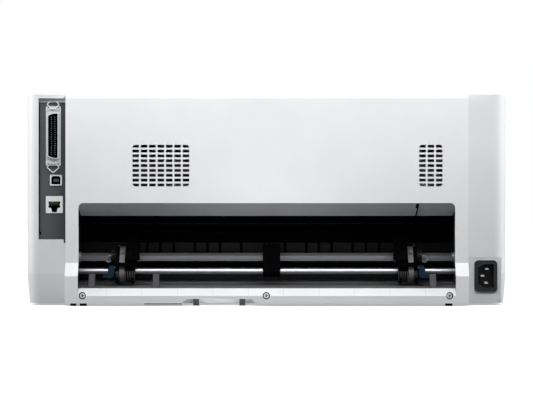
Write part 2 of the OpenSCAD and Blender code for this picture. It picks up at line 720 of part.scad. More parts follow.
module carriage() {
  x = carriage_l / 2;
  y0 = -28 * front_part;
  color("#3a3b3e") difference() {
    union() {
      block([-x, y0, 94], [x, 44, 104]);
      block([-x, 16, 94], [x, 44, 134]);
      block([-x, rail_y + 4, 106.4], [x, y0, 110]);
      block([-x, y0, 94], [-x + 4, 20, 126]);
      block([x - 4, y0, 94], [x, 20, 126]);
      // the arm that grips the belt's lower run, clear of it all round
      block([-12, 43, 103], [12, belt_y + 5.5, 113]);
    }
    rod_x(-x - 1, x + 1, carriage_shaft_y, carriage_shaft_z, carriage_shaft_d + 2 * run);
    translate([0, -2, 90]) cylinder(d = 32, h = 20);
    block([-13, belt_y - 3.5, carriage_shaft_z - pulley_r - 2], [13, belt_y + 3.5, carriage_shaft_z]);
    block([-13, 44, 104.5], [13, belt_y - 6, 114]);
  }
}

module print_head() {
  color("#26272a") translate([0, -2, 0]) {
    translate([0, 0, 96]) cylinder(d = 31.6, h = 12);
    for (i = [0:5]) translate([0, 0, 108 + i * 6]) cylinder(d = 34, h = 3);
    translate([0, 0, 104.1]) cylinder(d = 26, h = 40);
    translate([-9, -5, path_z + 2.6]) cube([18, 10, 20]);
  }
}

module motor_body(l, shaft_l) {
  cylinder(d = motor_d, h = l);
  translate([0, 0, -2]) cylinder(d = 10, h = 3);
  translate([0, 0, -shaft_l]) cylinder(d = 4, h = shaft_l + 1);
}

module carriage_motor() {
  color("#6d7074") translate([-pulley_x, 64, carriage_shaft_z]) rotate([-90, 0, 0]) motor_body(24, 64 - belt_y + 5);
}

module belt_pulley(side, bore) {
  color("#2e2f31") translate([side * pulley_x, belt_y, carriage_shaft_z]) rotate([90, 0, 0]) difference() {
    union() {
      cylinder(r = pulley_r, h = 7, center = true);
      for (z = [-4.5, 3.5]) translate([0, 0, z]) cylinder(r = pulley_r + 2, h = 1);
    }
    cylinder(d = bore + 2 * run, h = 20, center = true);
    for (a = [0:90:270]) rotate([0, 0, a + 45]) translate([pulley_r * 0.62, 0, 0])
      cylinder(d = 2.4, h = 20, center = true);
  }
}
module motor_pulley() { belt_pulley(-1, 4); }
module idler_pulley() { belt_pulley(1, 4); }

module timing_belt() {
  inner = pulley_r + 0.3;
  color("#1d1d1f") translate([0, belt_y + 3, carriage_shaft_z]) rotate([90, 0, 0]) linear_extrude(6) difference() {
    union() {
      square([2 * pulley_x, 2 * (inner + 1)], center = true);
      for (s = [-1, 1]) translate([s * pulley_x, 0]) circle(inner + 1);
    }
    square([2 * pulley_x, 2 * inner], center = true);
    for (s = [-1, 1]) translate([s * pulley_x, 0]) circle(inner);
  }
}

module ribbon_cartridge() {
  z = path_z + 1.4;
  y0 = -80 * front_part;
  y1 = -54 * front_part;
  color("#232326") {
    difference() {
      block([-frame_x + 8, y0, 116], [frame_x - 8, y1, 134]);
      translate([ribbon_knob_x, ribbon_knob_y, 124]) cylinder(d = 4 + 2 * run, h = 20);
    }
    for (s = [-1, 1]) mirror([s < 0 ? 1 : 0, 0, 0]) {
      block([frame_x - 24, y1 - 1, 119.5], [frame_x - 8, 4, 127]);
      block([frame_x - 22, -8, z + 3], [frame_x - 12, 4, 120]);
      rod_y(-8, 4, frame_x - 17, z + 5, 10);
    }
    // the inked ribbon between the arms
    block([17 - frame_x, -8, z], [frame_x - 17, 4, z + 0.3]);
  }
}

module ribbon_knob() {
  color("#3d4045") translate([ribbon_knob_x, ribbon_knob_y, 0]) {
    translate([0, 0, 126]) cylinder(d = 4, h = 10);
    difference() {
      translate([0, 0, 134.4]) cylinder(d = 18, h = 5);
      for (a = [0:30:330]) rotate([0, 0, a]) translate([9.4, 0, 134]) cylinder(d = 2.4, h = 8, $fn = 16);
    }
  }
}

module front_paper_bed() {
  z1 = path_z - 0.3;
  color("#55585d") difference() {
    along_x(-frame_x, frame_x)
      polygon([[front_y + wall + 2.5, z1 - 2], [-20, z1 - 2], [-20, z1], [front_y + wall + 2.5, z1]]);
    for (x = sleeve_xs) block([x - sleeve_l / 2 - 1, front_roller_y - roller_d / 2 - 1, z1 - 5],
      [x + sleeve_l / 2 + 1, front_roller_y + roller_d / 2 + 1, z1 + 1]);
    for (x = [42 - table_w / 2, table_w / 2 - 42]) block([x - 12, front_y, z1 - 5], [x + 12, front_y + wall + 6, z1 + 1]);
  }
}

module rear_paper_guide() {
  z1 = path_z - 0.3;
  y1 = 94;
  low = path_z - 7;
  color("#1c1c1e") difference() {
    union() {
      along_x(-frame_x, frame_x)
        polygon([[16, z1 - 2], [16, z1], [54, z1], [y1, low], [y1, mouth_z0 + 4], [y1 - 2, mouth_z0 + 4],
          [y1 - 2, low - 2], [54, z1 - 2]]);
      // the wall over the slit
      along_x(-frame_x, frame_x)
        polygon([[80, path_z + 1.5], [y1, path_z - 0.7], [y1, mouth_z1 + 3], [y1 - 2, mouth_z1 + 3], [y1 - 2, path_z + 3.5], [80, path_z + 5]]);
      for (s = [-1, 1]) block([s * (frame_x - 3) - 3, 78, low - 1], [s * (frame_x - 3) + 3, y1, path_z + 4]);
      // the ledge that the paper climbs over, cut by narrow slots
      difference() {
        along_x(-frame_x, frame_x)
          polygon([[y1 - 1, low - 10], [y1 + 3, low - 11.5], [y1 + 3, low - 22], [y1 - 1, low - 26]]);
        for (s = [-1, 1], x = ledge_slots) block([s * x + 2.1, y1 + 0.1, low - 27], [s * x + 4.7, y1 + 4, low - 9]);
      }
    }
    for (x = sleeve_xs) block([x - sleeve_l / 2 - 1, rear_roller_y - roller_d / 2 - 1, z1 - 5],
      [x + sleeve_l / 2 + 1, rear_roller_y + roller_d / 2 + 1, z1 + 1]);
  }
}

module platen_bar() {
  color("#2f3033") along_x(-frame_x, frame_x)
    polygon([[-14, path_z - 14], [10, path_z - 14], [10, path_z - 1], [8, path_z - 0.2], [-12, path_z - 0.2], [-14, path_z - 1]]);
}

// A gear's outline; slim flat-sided teeth leave play in the mesh
module gear_plan(n, turn) {
  r = n * tooth / 2;
  root_r = r - 1.15 * tooth;
  tip_r = r + 0.85 * tooth;
  step = 360 / n;
  polygon([for (i = [0:n - 1], p = [[root_r, -0.30], [r, -0.215], [tip_r, -0.10], [tip_r, 0.10], [r, 0.215], [root_r, 0.30]])
    p[0] * [cos(turn + (i + p[1]) * step), sin(turn + (i + p[1]) * step)]]);
}

// A gear on the outer side of the left frame, with a bore
module frame_gear(y, z, n, turn, bore) {
  along_x(gear_x, gear_x + gear_w) translate([y, z]) difference() {
    gear_plan(n, turn);
    circle(d = bore);
    if (n > 25) for (a = [0:60:300]) rotate(a) translate([n * tooth * 0.32, 0]) circle(n * tooth * 0.09);
  }
}

// The rear roller's tooth points along the line to each partner only where its count allows it,
// so each later gear takes its turn from the phase of the one before it
function phase_at(n, turn, a) = (a - turn) * n / 360 - floor((a - turn) * n / 360);
function partner_turn(n1, turn1, n2, a) = a + 180 - (0.5 - phase_at(n1, turn1, a)) * 360 / n2;

rear_turn = 0;
idler_dir = atan2(idler_z - roller_z, idler_y - rear_roller_y);
idler_turn = partner_turn(roller_teeth, rear_turn, idler_teeth, idler_dir);
tractor_dir = atan2(drive_z - idler_z, drive_y - idler_y);
tractor_turn = partner_turn(idler_teeth, idler_turn, tractor_teeth, tractor_dir);
link_turn = partner_turn(roller_teeth, rear_turn, link_teeth, 180);
front_turn = partner_turn(link_teeth, link_turn, roller_teeth, 180);
pinion_turn = partner_turn(link_teeth, link_turn, pinion_teeth, pinion_up);

module feed_roller(y, turn) {
  color("#3b3b3b") for (x = sleeve_xs) rod_x(x - sleeve_l / 2, x + sleeve_l / 2, y, roller_z, roller_d);
  color("silver") rod_x(gear_x, frame_out + 2, y, roller_z, roller_shaft_d);
  color("ivory") frame_gear(y, roller_z, roller_teeth, turn, roller_shaft_d - 1);
}
module front_feed_roller() { feed_roller(front_roller_y, front_turn); }
module rear_feed_roller() { feed_roller(rear_roller_y, rear_turn); }

module link_gear() {
  color("ivory") frame_gear(link_y, roller_z, link_teeth, link_turn, 5 + 2 * run);
}
module idler_gear() {
  color("ivory") frame_gear(idler_y, idler_z, idler_teeth, idler_turn, 5 + 2 * run);
}
module feed_pinion() {
  color("#b5a642") frame_gear(pinion_y, pinion_z, pinion_teeth, pinion_turn, 4 + 2 * run);
}

module feed_motor() {
  x = gear_x - 3;
  color("#6d7074") {
    translate([x, pinion_y, pinion_z]) rotate([0, -90, 0]) motor_body(22, gear_w + 3);
    // the plate that carries the motor, and its spacers on the frame
    difference() {
      block([x - 1, pinion_y - 32, pinion_z - 27], [x + 1, pinion_y + 32, pinion_z + 27]);
      rod_x(x - 2, x + 2, pinion_y, pinion_z, 11);
    }
    for (y = [-28, 28]) rod_x(x, -frame_out, pinion_y + y, pinion_z + 23, 6);
  }
}

// A square bar along X, turned by drive_turn
module square_bar(x0, x1, w) {
  along_x(x0, x1) translate([drive_y, drive_z]) rotate(drive_turn) square(w, center = true);
}

module tractor_shaft() {
  journal = drive_w * sqrt(2) + 2;
  color("#8d9095") {
    square_bar(-frame_x + 4, frame_x - 4, drive_w);
    for (x = [[-frame_out - 0.5, -frame_x + 4], [frame_x - 4, frame_out + 2]]) rod_x(x[0], x[1], drive_y, drive_z, journal);
  }
  color("ivory") {
    rod_x(gear_x, -frame_out, drive_y, drive_z, journal - 1);
    frame_gear(drive_y, drive_z, tractor_teeth, tractor_turn, journal - 2);
  }
}

module tractor_rod() {
  color("#d5dae2") rod_x(-frame_out, frame_out, rod_y, rod_z, rod_d);
}

// Moves a drawing to the middle between rod and drive shaft; its Y runs down the paper, its Z towards it
module run_place() {
  translate([0, (rod_y + drive_y) / 2, (rod_z + drive_z) / 2]) rotate([tractor_a - 180, 0, 0]) children();
}

// A loop outline round rod and drive shaft, seen along X
module loop_plan(r) {
  steps = 16;
  function arc(mid, from) = [for (i = [0:steps]) mid + r * [cos(from + i * 180 / steps), sin(from + i * 180 / steps)]];
  polygon(concat(arc([drive_y, drive_z], tractor_a - 90), arc([rod_y, rod_z], tractor_a + 90)));
}

// One tractor without its belt, for the right-hand side; side is -1 or 1
module tractor(side) {
  hole = drive_w * sqrt(2) + 5;
  color("#2a2b2e") mirror([side < 0 ? 1 : 0, 0, 0]) difference() {
    union() {
      // the two cheeks and the core that joins them through the belt
      along_x(tractor_x + 5, belt_x0 - 0.3) loop_plan(belt_r + 0.6);
      along_x(belt_x1 + 0.3, tractor_x1) loop_plan(belt_r + 0.6);
      rod_x(tractor_x + 5, tractor_x1, rod_y, rod_z, 15);
      // the plate behind the belt and the hooks under it
      difference() {
        block([tractor_x + 6, rod_y + 9, rod_z + 5], [tractor_x1, rod_y + 14, rod_z + 9]);
        along_x(belt_x0 - 0.3, belt_x1 + 0.3) loop_plan(belt_r + 2.3);
      }
      for (x = [tractor_x + 6, tractor_x1 - 3]) block([x, rod_y + 2, rod_z - 12.6], [x + 3, rod_y + 10, rod_z - 6]);
      // lugs that carry the flap's pin
      run_place() for (y = lug_ys)
        block([tractor_x + 0.6, y - 1.5, 6], [tractor_x + 6.5, y + 1.5, flap_pin_z + 2]);
      run_place() translate([tractor_x + 2.6, lug_mid, flap_pin_z]) rotate([90, 0, 0])
        cylinder(d = 2, h = 16, center = true);
    }
    rod_x(tractor_x - 1, tractor_x1 + 2, rod_y, rod_z, rod_d + 2 * run);
    rod_x(tractor_x - 1, tractor_x1 + 2, drive_y, drive_z, hole + 2 * run);
  }
}
module right_tractor() { tractor(1); }
module left_tractor() { tractor(-1); }

module pin_belt(side) {
  r = belt_r;
  color("white") mirror([side < 0 ? 1 : 0, 0, 0]) {
    along_x(belt_x0, belt_x1) difference() {
      loop_plan(r);
      loop_plan(r - belt_t);
    }
    // pins on the straight runs, square to them
    for (s = [0, 180], y = [-pin_pitch / 2, pin_pitch / 2]) run_place() rotate([s, 0, 0])
      translate([(belt_x0 + belt_x1) / 2, y, r - 0.3]) cylinder(d = 3, h = 2.3);
  }
}
module right_pin_belt() { pin_belt(1); }
module left_pin_belt() { pin_belt(-1); }

module flap(side) {
  color("#17181a") mirror([side < 0 ? 1 : 0, 0, 0]) run_place() difference() {
    union() {
      block([tractor_x + 0.9, flap_y0, flap_pin_z - 0.6], [tractor_x + flap_w, flap_y1, flap_pin_z + 1.8]);
      translate([tractor_x + 2.6, lug_mid, flap_pin_z]) rotate([90, 0, 0]) cylinder(d = 4, h = 17, center = true);
      for (y = [flap_y0 + 1.6, lug_mid, flap_y1 - 1.6])
        block([tractor_x + 7, y - 0.8, flap_pin_z + 1.7], [tractor_x + flap_w - 1, y + 0.8, flap_pin_z + 3.2]);
    }
    translate([tractor_x + 2.6, lug_mid, flap_pin_z]) rotate([90, 0, 0])
      cylinder(d = 2 + 2 * run, h = 50, center = true);
    for (y = lug_ys) block([tractor_x - 1, y - 2, flap_pin_z - 5], [tractor_x + 7.6, y + 2, flap_pin_z + 5]);
    translate([tractor_x, flap_y1, flap_pin_z]) rotate([0, 0, 45]) cube([7, 7, 12], center = true);
  }
}
module right_flap() { flap(1); }
module left_flap() { flap(-1); }

// The wheel that drives the pin belt and slides on the square shaft with its tractor
module sprocket(side) {
  hub = drive_w * sqrt(2) + 5;
  color("#8f9398") mirror([side < 0 ? 1 : 0, 0, 0]) difference() {
    union() {
      rod_x(tractor_x + 3, tractor_x1 + 1, drive_y, drive_z, hub);
      rod_x(belt_x0 + 0.1, belt_x1 - 0.1, drive_y, drive_z, 2 * (belt_r - belt_t - 0.3));
      for (i = [0:2]) rod_x(tractor_x1 + 0.5 + i * 1.8, tractor_x1 + 1.5 + i * 1.8, drive_y, drive_z, 18);
      rod_x(tractor_x1 + 0.5, tractor_x1 + 5.1, drive_y, drive_z, 14);
    }
    square_bar(tractor_x, tractor_x1 + 9, drive_w + 0.2);
  }
}
module right_sprocket() { sprocket(1); }
module left_sprocket() { sprocket(-1); }

module lock_lever(side) {
  x = tractor_x1 + 0.9;
  color("#2f6fb5") mirror([side < 0 ? 1 : 0, 0, 0]) difference() {
    union() {
      rod_x(x, x + 6, rod_y, rod_z, 12);
      block([x, rod_y + 2, rod_z - 5], [x + 6, rod_y + 16, rod_z + 3]);
      block([x + 2, rod_y + 12, rod_z - 6.5], [x + 10.5, rod_y + 17, rod_z - 1.5]);
    }
    rod_x(x - 1, x + 7, rod_y, rod_z, rod_d + 2 * run);
  }
}
module right_lock_lever() { lock_lever(1); }
module left_lock_lever() { lock_lever(-1); }

// The middle support's outline, seen along X, moved outwards by t
module support_plan(t) {
  hull() {
    translate([drive_y, drive_z]) circle(belt_r + 2 + t);
    translate([rod_y, rod_z]) circle(rod_d / 2 + 2.6 + t);
  }
}

module paper_support() {
  x0 = support_x - support_w / 2;
  x1 = support_x + support_w / 2;
  color("#151517") difference() {
    union() {
      along_x(x0, x1) support_plan(0);
      for (i = [0:3]) along_x(x0 + 1 + i * (support_w - 4) / 3, x0 + 3 + i * (support_w - 4) / 3) support_plan(1.2);
    }
    rod_x(x0 - 1, x1 + 1, rod_y, rod_z, rod_d + 2 * run);
    rod_x(x0 - 1, x1 + 1, drive_y, drive_z, drive_w * sqrt(2) + 1);
  }
}

module main_board() {
  color("#1f5a3a") difference() {
    block([board_x, 40, 62], [board_x + board_t, rear_y - plate_in - 3, case_h - 8]);
    for (y = [46, 140], z = [68, case_h - 20]) rod_x(board_x - 1, board_x + 3, y, z, 3.4);
  }
  color("#1c1c1e") for (p = [[70, 90, 24], [70, 130, 18], [110, 172, 20], [108, 84, 14]])
    block([board_x + board_t, p[0] - p[2] / 2, p[1] - p[2] / 2], [board_x + board_t + 2.4, p[0] + p[2] / 2, p[1] + p[2] / 2]);
}

module power_supply() {
  x0 = -side_x + wall + 6;
  x1 = -frame_out - 11;
  color("#9da1a6") difference() {
    block([x0, 20, base_z + wall], [x1, 128, 58]);
    block([x0 + 1.2, 21.2, base_z + wall + 1.2], [x1 - 1.2, 126.8, 60]);
    for (i = [0:7]) block([x0 - 1, 32 + i * 11, 26], [x0 + 3, 36 + i * 11, 50]);
  }
  color("#6b4a2b") block([x0 + 3, 24, base_z + wall + 1.1], [x1 - 3, 124, base_z + wall + 3]);
  color("#333333") block([x0 + 6, 60, base_z + wall + 2.9], [x1 - 6, 92, 44]);
}

module io_plate() {
  y1 = rear_y - plate_in;
  x0 = cover_x1 + gap + 0.2;
  x1 = window_x1 + 3;
  color("#55585c") difference() {
    block([x0, y1 - 1.2, window_z0 - 3], [x1, y1, case_h - wall - 0.1]);
    along_y(y1 - 2, y1 + 1) {
      translate([parallel_x, parallel_z]) square([12.6, 54], center = true);
      translate([usb_x, usb_z]) square([12.6, 11.4], center = true);
      translate([lan_x, lan_z]) square([17.6, 17.5], center = true);
    }
  }
  // the flange that stands on the case's rear wall
  color("#55585c") block([window_x1 + 0.3, y1 - 0.1, window_z0], [window_x1 + 1.5, rear_y - wall - 0.5, window_z1 - 6]);
}

module parallel_connector() {
  y1 = rear_y - plate_in;
  x = parallel_x;
  color("#c3c7cc") difference() {
    union() {
      // flange, shell and body
      block([x - 7.5, y1 + 0.1, parallel_z - 29.9], [x + 7.5, y1 + 1.6, parallel_z + 29.9]);
      along_y(y1 + 1, y1 + 6) dee(11.4, 46.5);
      along_y(y1 - 10, y1 + 1) dee(11.4, 46.5);
      // ears that hold the bails
      for (s = [-1, 1], t = [-1, 1]) translate([x + t * 3.3, y1 + 3, parallel_z + s * ear_z])
        cube([1.4, 4, 2.8], center = true);
    }
    along_y(y1 - 4, y1 + 7) dee(9, 44);
    for (s = [-1, 1]) rod_x(x - 5, x + 5, y1 + 3.4, parallel_z + s * ear_z, 1.2 + 2 * run);
  }
  color("#1a1a1c") along_y(y1 - 9, y1 + 4.5) translate([x, parallel_z]) square([3, 41], center = true);
  color("#c9a94a") for (s = [-1, 1], i = [0:17])
    translate([x + s * 1.7, y1 - 1, parallel_z - 18.7 + i * 2.2]) cube([0.6, 10, 0.8], center = true);
}

// The D outline of the parallel connector, its long side towards the middle of the printer
module dee(w, h) {
  translate([parallel_x, parallel_z]) polygon([[-w / 2, -h / 2], [-w / 2, h / 2], [0, h / 2 - 0.3],
    [w / 2, h / 2 - 4.5], [w / 2, -h / 2 + 4.5], [0, -h / 2 + 0.3]]);
}

// A wire bail on the parallel connector; s is -1 below, 1 above
module bail(s) {
  color("#d9dce0") translate([parallel_x, rear_y - plate_in + 3.4, parallel_z + s * ear_z]) {
    rod_x(-5.4, 5.4, 0, 0, 1.2);
    along_y(-0.6, 0.6) scale([1, s]) difference() {
      polygon([[-5.6, -0.6], [5.6, -0.6], [6, 4.3], [1.4, 9.9], [-1.4, 9.9], [-6, 4.3]]);
      polygon([[-4.4, -1], [4.4, -1], [4.7, 4], [0.9, 8.7], [-0.9, 8.7], [-4.7, 4]]);
    }
  }
}
module upper_bail() { bail(1); }
module lower_bail() { bail(-1); }

module usb_connector() {
  y1 = rear_y - plate_in;
  x = usb_x;
  color("#c3c7cc") difference() {
    along_y(y1 - 14, y1 + 1.2) translate([x, usb_z]) square([12, 10.8], center = true);
    along_y(y1 - 9, y1 + 2) translate([x, usb_z])
      polygon([[-4.2, -3.9], [4.2, -3.9], [4.2, 2.1], [2.6, 3.9], [-2.6, 3.9], [-4.2, 2.1]]);
  }
  color("#8a8d92") along_y(y1 - 9.5, y1) translate([x, usb_z - 0.2]) square([5.6, 3.2], center = true);
}

module lan_jack() {
  y1 = rear_y - plate_in;
  x = lan_x;
  color("#d8dade") difference() {
    along_y(y1 - 16, y1 + 1.2) translate([x, lan_z]) square([17, 16.9], center = true);
    along_y(y1 - 11, y1 + 2) translate([x, lan_z]) {
      square([11.8, 7], center = true);
      translate([0, -4]) square([5, 5], center = true);
    }
  }
  color("#c9b24a") for (i = [0:7]) block([x - 4.7 + i * 1.27, y1 - 11.1, lan_z + 2.4], [x - 4.2 + i * 1.27, y1 - 1, lan_z + 3.6]);
}

module ac_inlet() {
  y1 = rear_y + 1.8;
  color("#36373a") {
    difference() {
      union() {
        translate([inlet_x, 0, inlet_z]) along_y(rear_y + 0.1, y1) soft_rect(-11.4, -15.75, 11.4, 15.75, 4);
        translate([inlet_x, 0, inlet_z]) along_y(rear_y - 20, rear_y + 0.2) square([19, 27.4], center = true);
      }
      translate([inlet_x, 0, inlet_z]) along_y(rear_y - 15, y1 + 1)
        polygon([[-7.9, -11.75], [2.3, -11.75], [7.9, -8.2], [7.9, 8.2], [2.3, 11.75], [-7.9, 11.75]]);
    }
  }
  color("#c9ccd0") for (p = [[2.2, 7], [-2, 0], [1.5, -7]])
    translate([inlet_x - p[0] + 1, 0, inlet_z + p[1]]) along_y(rear_y - 15.1, rear_y - 1) square([4, 2], center = true);
}

lower_case();
upper_case();
rear_cover();
cover_screws();
rubber_feet();
printer_cover();
cover_window();
front_table();
left_edge_guide();
right_edge_guide();
control_panel();
pause_button();
feed_button();
eject_button();
mode_button();
power_switch();
left_side_frame();
right_side_frame();
rear_frame_plate();
front_paper_bed();
rear_paper_guide();
platen_bar();
carriage_shaft();
carriage_rail();
carriage();
print_head();
carriage_motor();
motor_pulley();
idler_pulley();
timing_belt();
ribbon_cartridge();
ribbon_knob();
feed_motor();
feed_pinion();
front_feed_roller();
rear_feed_roller();
link_gear();
idler_gear();
tractor_shaft();
tractor_rod();
left_tractor();
right_tractor();
left_pin_belt();
right_pin_belt();
left_flap();
right_flap();
left_sprocket();
right_sprocket();
left_lock_lever();
right_lock_lever();
paper_support();
main_board();
power_supply();
io_plate();
parallel_connector();
upper_bail();
lower_bail();
usb_connector();
lan_jack();
ac_inlet();
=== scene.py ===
"""A white flatbed dot matrix printer, dressed around its CAD frame. All lengths in metres."""
import math

import bmesh
import bpy
from mathutils import Matrix, Vector


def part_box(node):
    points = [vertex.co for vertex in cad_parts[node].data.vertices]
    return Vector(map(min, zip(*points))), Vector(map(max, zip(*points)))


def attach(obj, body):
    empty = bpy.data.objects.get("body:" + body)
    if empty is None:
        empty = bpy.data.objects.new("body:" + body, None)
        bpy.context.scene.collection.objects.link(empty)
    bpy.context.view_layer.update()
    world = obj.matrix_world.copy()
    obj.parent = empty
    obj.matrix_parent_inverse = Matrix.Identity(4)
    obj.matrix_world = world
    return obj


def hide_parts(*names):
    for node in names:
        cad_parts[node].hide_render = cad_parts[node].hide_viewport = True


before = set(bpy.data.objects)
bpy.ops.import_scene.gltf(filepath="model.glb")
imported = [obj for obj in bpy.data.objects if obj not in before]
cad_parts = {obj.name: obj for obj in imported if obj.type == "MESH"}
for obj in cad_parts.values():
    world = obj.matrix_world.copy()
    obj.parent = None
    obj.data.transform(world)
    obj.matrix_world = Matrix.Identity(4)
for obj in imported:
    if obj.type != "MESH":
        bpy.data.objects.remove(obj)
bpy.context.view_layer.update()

MM = 0.001


# ---------------------------------------------------------------- materials

def new_material(name):
    material = bpy.data.materials.new(name)
    material.use_nodes = True
    nodes = material.node_tree.nodes
    return material, nodes, material.node_tree.links, nodes["Principled BSDF"]


def noise(nodes, links, scale, detail=3.0, squeeze=(1, 1, 1)):
    """Noise in the object's own coordinates, in metres; scale is in waves per metre."""
    place = nodes.new("ShaderNodeTexCoord")
    mapping = nodes.new("ShaderNodeMapping")
    mapping.inputs["Scale"].default_value = squeeze
    texture = nodes.new("ShaderNodeTexNoise")
    texture.inputs["Scale"].default_value = scale
    texture.inputs["Detail"].default_value = detail
    links.new(place.outputs["Object"], mapping.inputs["Vector"])
    links.new(mapping.outputs["Vector"], texture.inputs["Vector"])
    return texture.outputs["Fac"]


def ramp(nodes, links, source, low, high, start=0.3, end=0.7):
    """Two colours or greys mixed by a noise between start and end."""
    node = nodes.new("ShaderNodeValToRGB")
    first, last = node.color_ramp.elements
    first.position, last.position = start, end
    first.color = (*low, 1) if isinstance(low, tuple) else (low, low, low, 1)
    last.color = (*high, 1) if isinstance(high, tuple) else (high, high, high, 1)
    links.new(source, node.inputs["Fac"])
    return node.outputs["Color"]


def combine(nodes, links, operation, first, second):
    node = nodes.new("ShaderNodeMath")
    node.operation = operation
    links.new(first, node.inputs[0])
    links.new(second, node.inputs[1])
    return node.outputs["Value"]


def stretch(nodes, links, source, start, end, low=0.0, high=1.0):
    """Maps low to high on start to end, held at both ends."""
    node = nodes.new("ShaderNodeMapRange")
    for name, value in (("From Min", low), ("From Max", high), ("To Min", start), ("To Max", end)):
        node.inputs[name].default_value = value
    links.new(source, node.inputs["Value"])
    return node.outputs["Result"]


def vary_input(nodes, links, shader, name, source, low, high):
    """Lets an input of the shader wander between low and high with a noise."""
    links.new(ramp(nodes, links, source, low, high), shader.inputs[name])


def bump(nodes, links, shader, height, strength, distance):
    node = nodes.new("ShaderNodeBump")
    node.inputs["Strength"].default_value = strength
    node.inputs["Distance"].default_value = distance
    links.new(height, node.inputs["Height"])
    links.new(node.outputs["Normal"], shader.inputs["Normal"])


def shade(colour, factor):
    return tuple(min(1.0, c * factor) for c in colour)


def plastic(name, colour, rough=0.45, grain=2600, depth=0.00004, vary=0.03, strength=0.25, shine=0.42):
    """Moulded plastic with a fine spark-eroded grain and slightly uneven colour and gloss."""
    material, nodes, links, shader = new_material(name)
    clouds = noise(nodes, links, 14, 4)
    vary_input(nodes, links, shader, "Base Color", clouds, shade(colour, 1 - vary), shade(colour, 1 + vary))
    smears = noise(nodes, links, 55, 5)
    vary_input(nodes, links, shader, "Roughness", smears, rough - 0.05, rough + 0.07)
    bump(nodes, links, shader, noise(nodes, links, grain, 2), strength, depth)
    shader.inputs["Specular IOR Level"].default_value = shine
    return material


def metal(name, colour, rough=0.3, stretch=(1, 1, 1), scale=900, depth=0.00003, metallic=1.0, vary=0.08):
    """Metal with fine marks along the direction that stretch leaves long."""
    material, nodes, links, shader = new_material(name)
    marks = noise(nodes, links, scale, 4, stretch)
    vary_input(nodes, links, shader, "Base Color", marks, shade(colour, 1 - vary), shade(colour, 1 + vary))
    vary_input(nodes, links, shader, "Roughness", marks, rough - 0.06, rough + 0.08)
    bump(nodes, links, shader, marks, 0.2, depth)
    shader.inputs["Metallic"].default_value = metallic
    return material


def rubber(name, colour, rough=0.75):
    """Matt rubber with a dusty, open surface."""
    material, nodes, links, shader = new_material(name)
    dust = noise(nodes, links, 120, 6)
    vary_input(nodes, links, shader, "Base Color", dust, colour, shade(colour, 1.7))
    vary_input(nodes, links, shader, "Roughness", dust, rough - 0.08, rough + 0.1)
    bump(nodes, links, shader, noise(nodes, links, 1800, 3), 0.4, 0.00006)
    return material


def smoked(name, colour, alpha=0.42):
    """Smoked see-through plastic, glossy, with a few hairline marks."""
    material, nodes, links, shader = new_material(name)
    haze = noise(nodes, links, 30, 5)
    vary_input(nodes, links, shader, "Base Color", haze, shade(colour, 0.9), shade(colour, 1.1))
    vary_input(nodes, links, shader, "Roughness", noise(nodes, links, 300, 4), 0.05, 0.13)
    shader.inputs["Alpha"].default_value = alpha
    return material


def board(name, colour):
    """Circuit board: lacquer over copper tracks."""
    material, nodes, links, shader = new_material(name)
    place = nodes.new("ShaderNodeTexCoord")
    bricks = nodes.new("ShaderNodeTexBrick")
    bricks.inputs["Scale"].default_value = 220
    bricks.inputs["Mortar Size"].default_value = 0.06
    bricks.inputs["Color1"].default_value = (*colour, 1)
    bricks.inputs["Color2"].default_value = (*shade(colour, 0.8), 1)
    bricks.inputs["Mortar"].default_value = (*shade(colour, 1.9), 1)
    links.new(place.outputs["Object"], bricks.inputs["Vector"])
    links.new(bricks.outputs["Color"], shader.inputs["Base Color"])
    shader.inputs["Roughness"].default_value = 0.35
    return material


def shaded_sheet(name, dark, pale, x0, x1):
    """Sheet with painted shade, dark at x0 and pale at x1, as the light falls on it in its niche."""
    material, nodes, links, shader = new_material(name)
    place = nodes.new("ShaderNodeTexCoord")
    split = nodes.new("ShaderNodeSeparateXYZ")
    links.new(place.outputs["Object"], split.inputs["Vector"])
    across = stretch(nodes, links, split.outputs["X"], 0, 1, x0, x1)
    links.new(ramp(nodes, links, across, dark, pale, 0, 1), shader.inputs["Base Color"])
    vary_input(nodes, links, shader, "Roughness", noise(nodes, links, 60, 5), 0.45, 0.6)
    bump(nodes, links, shader, noise(nodes, links, 1500, 2), 0.2, 0.00003)
    return material


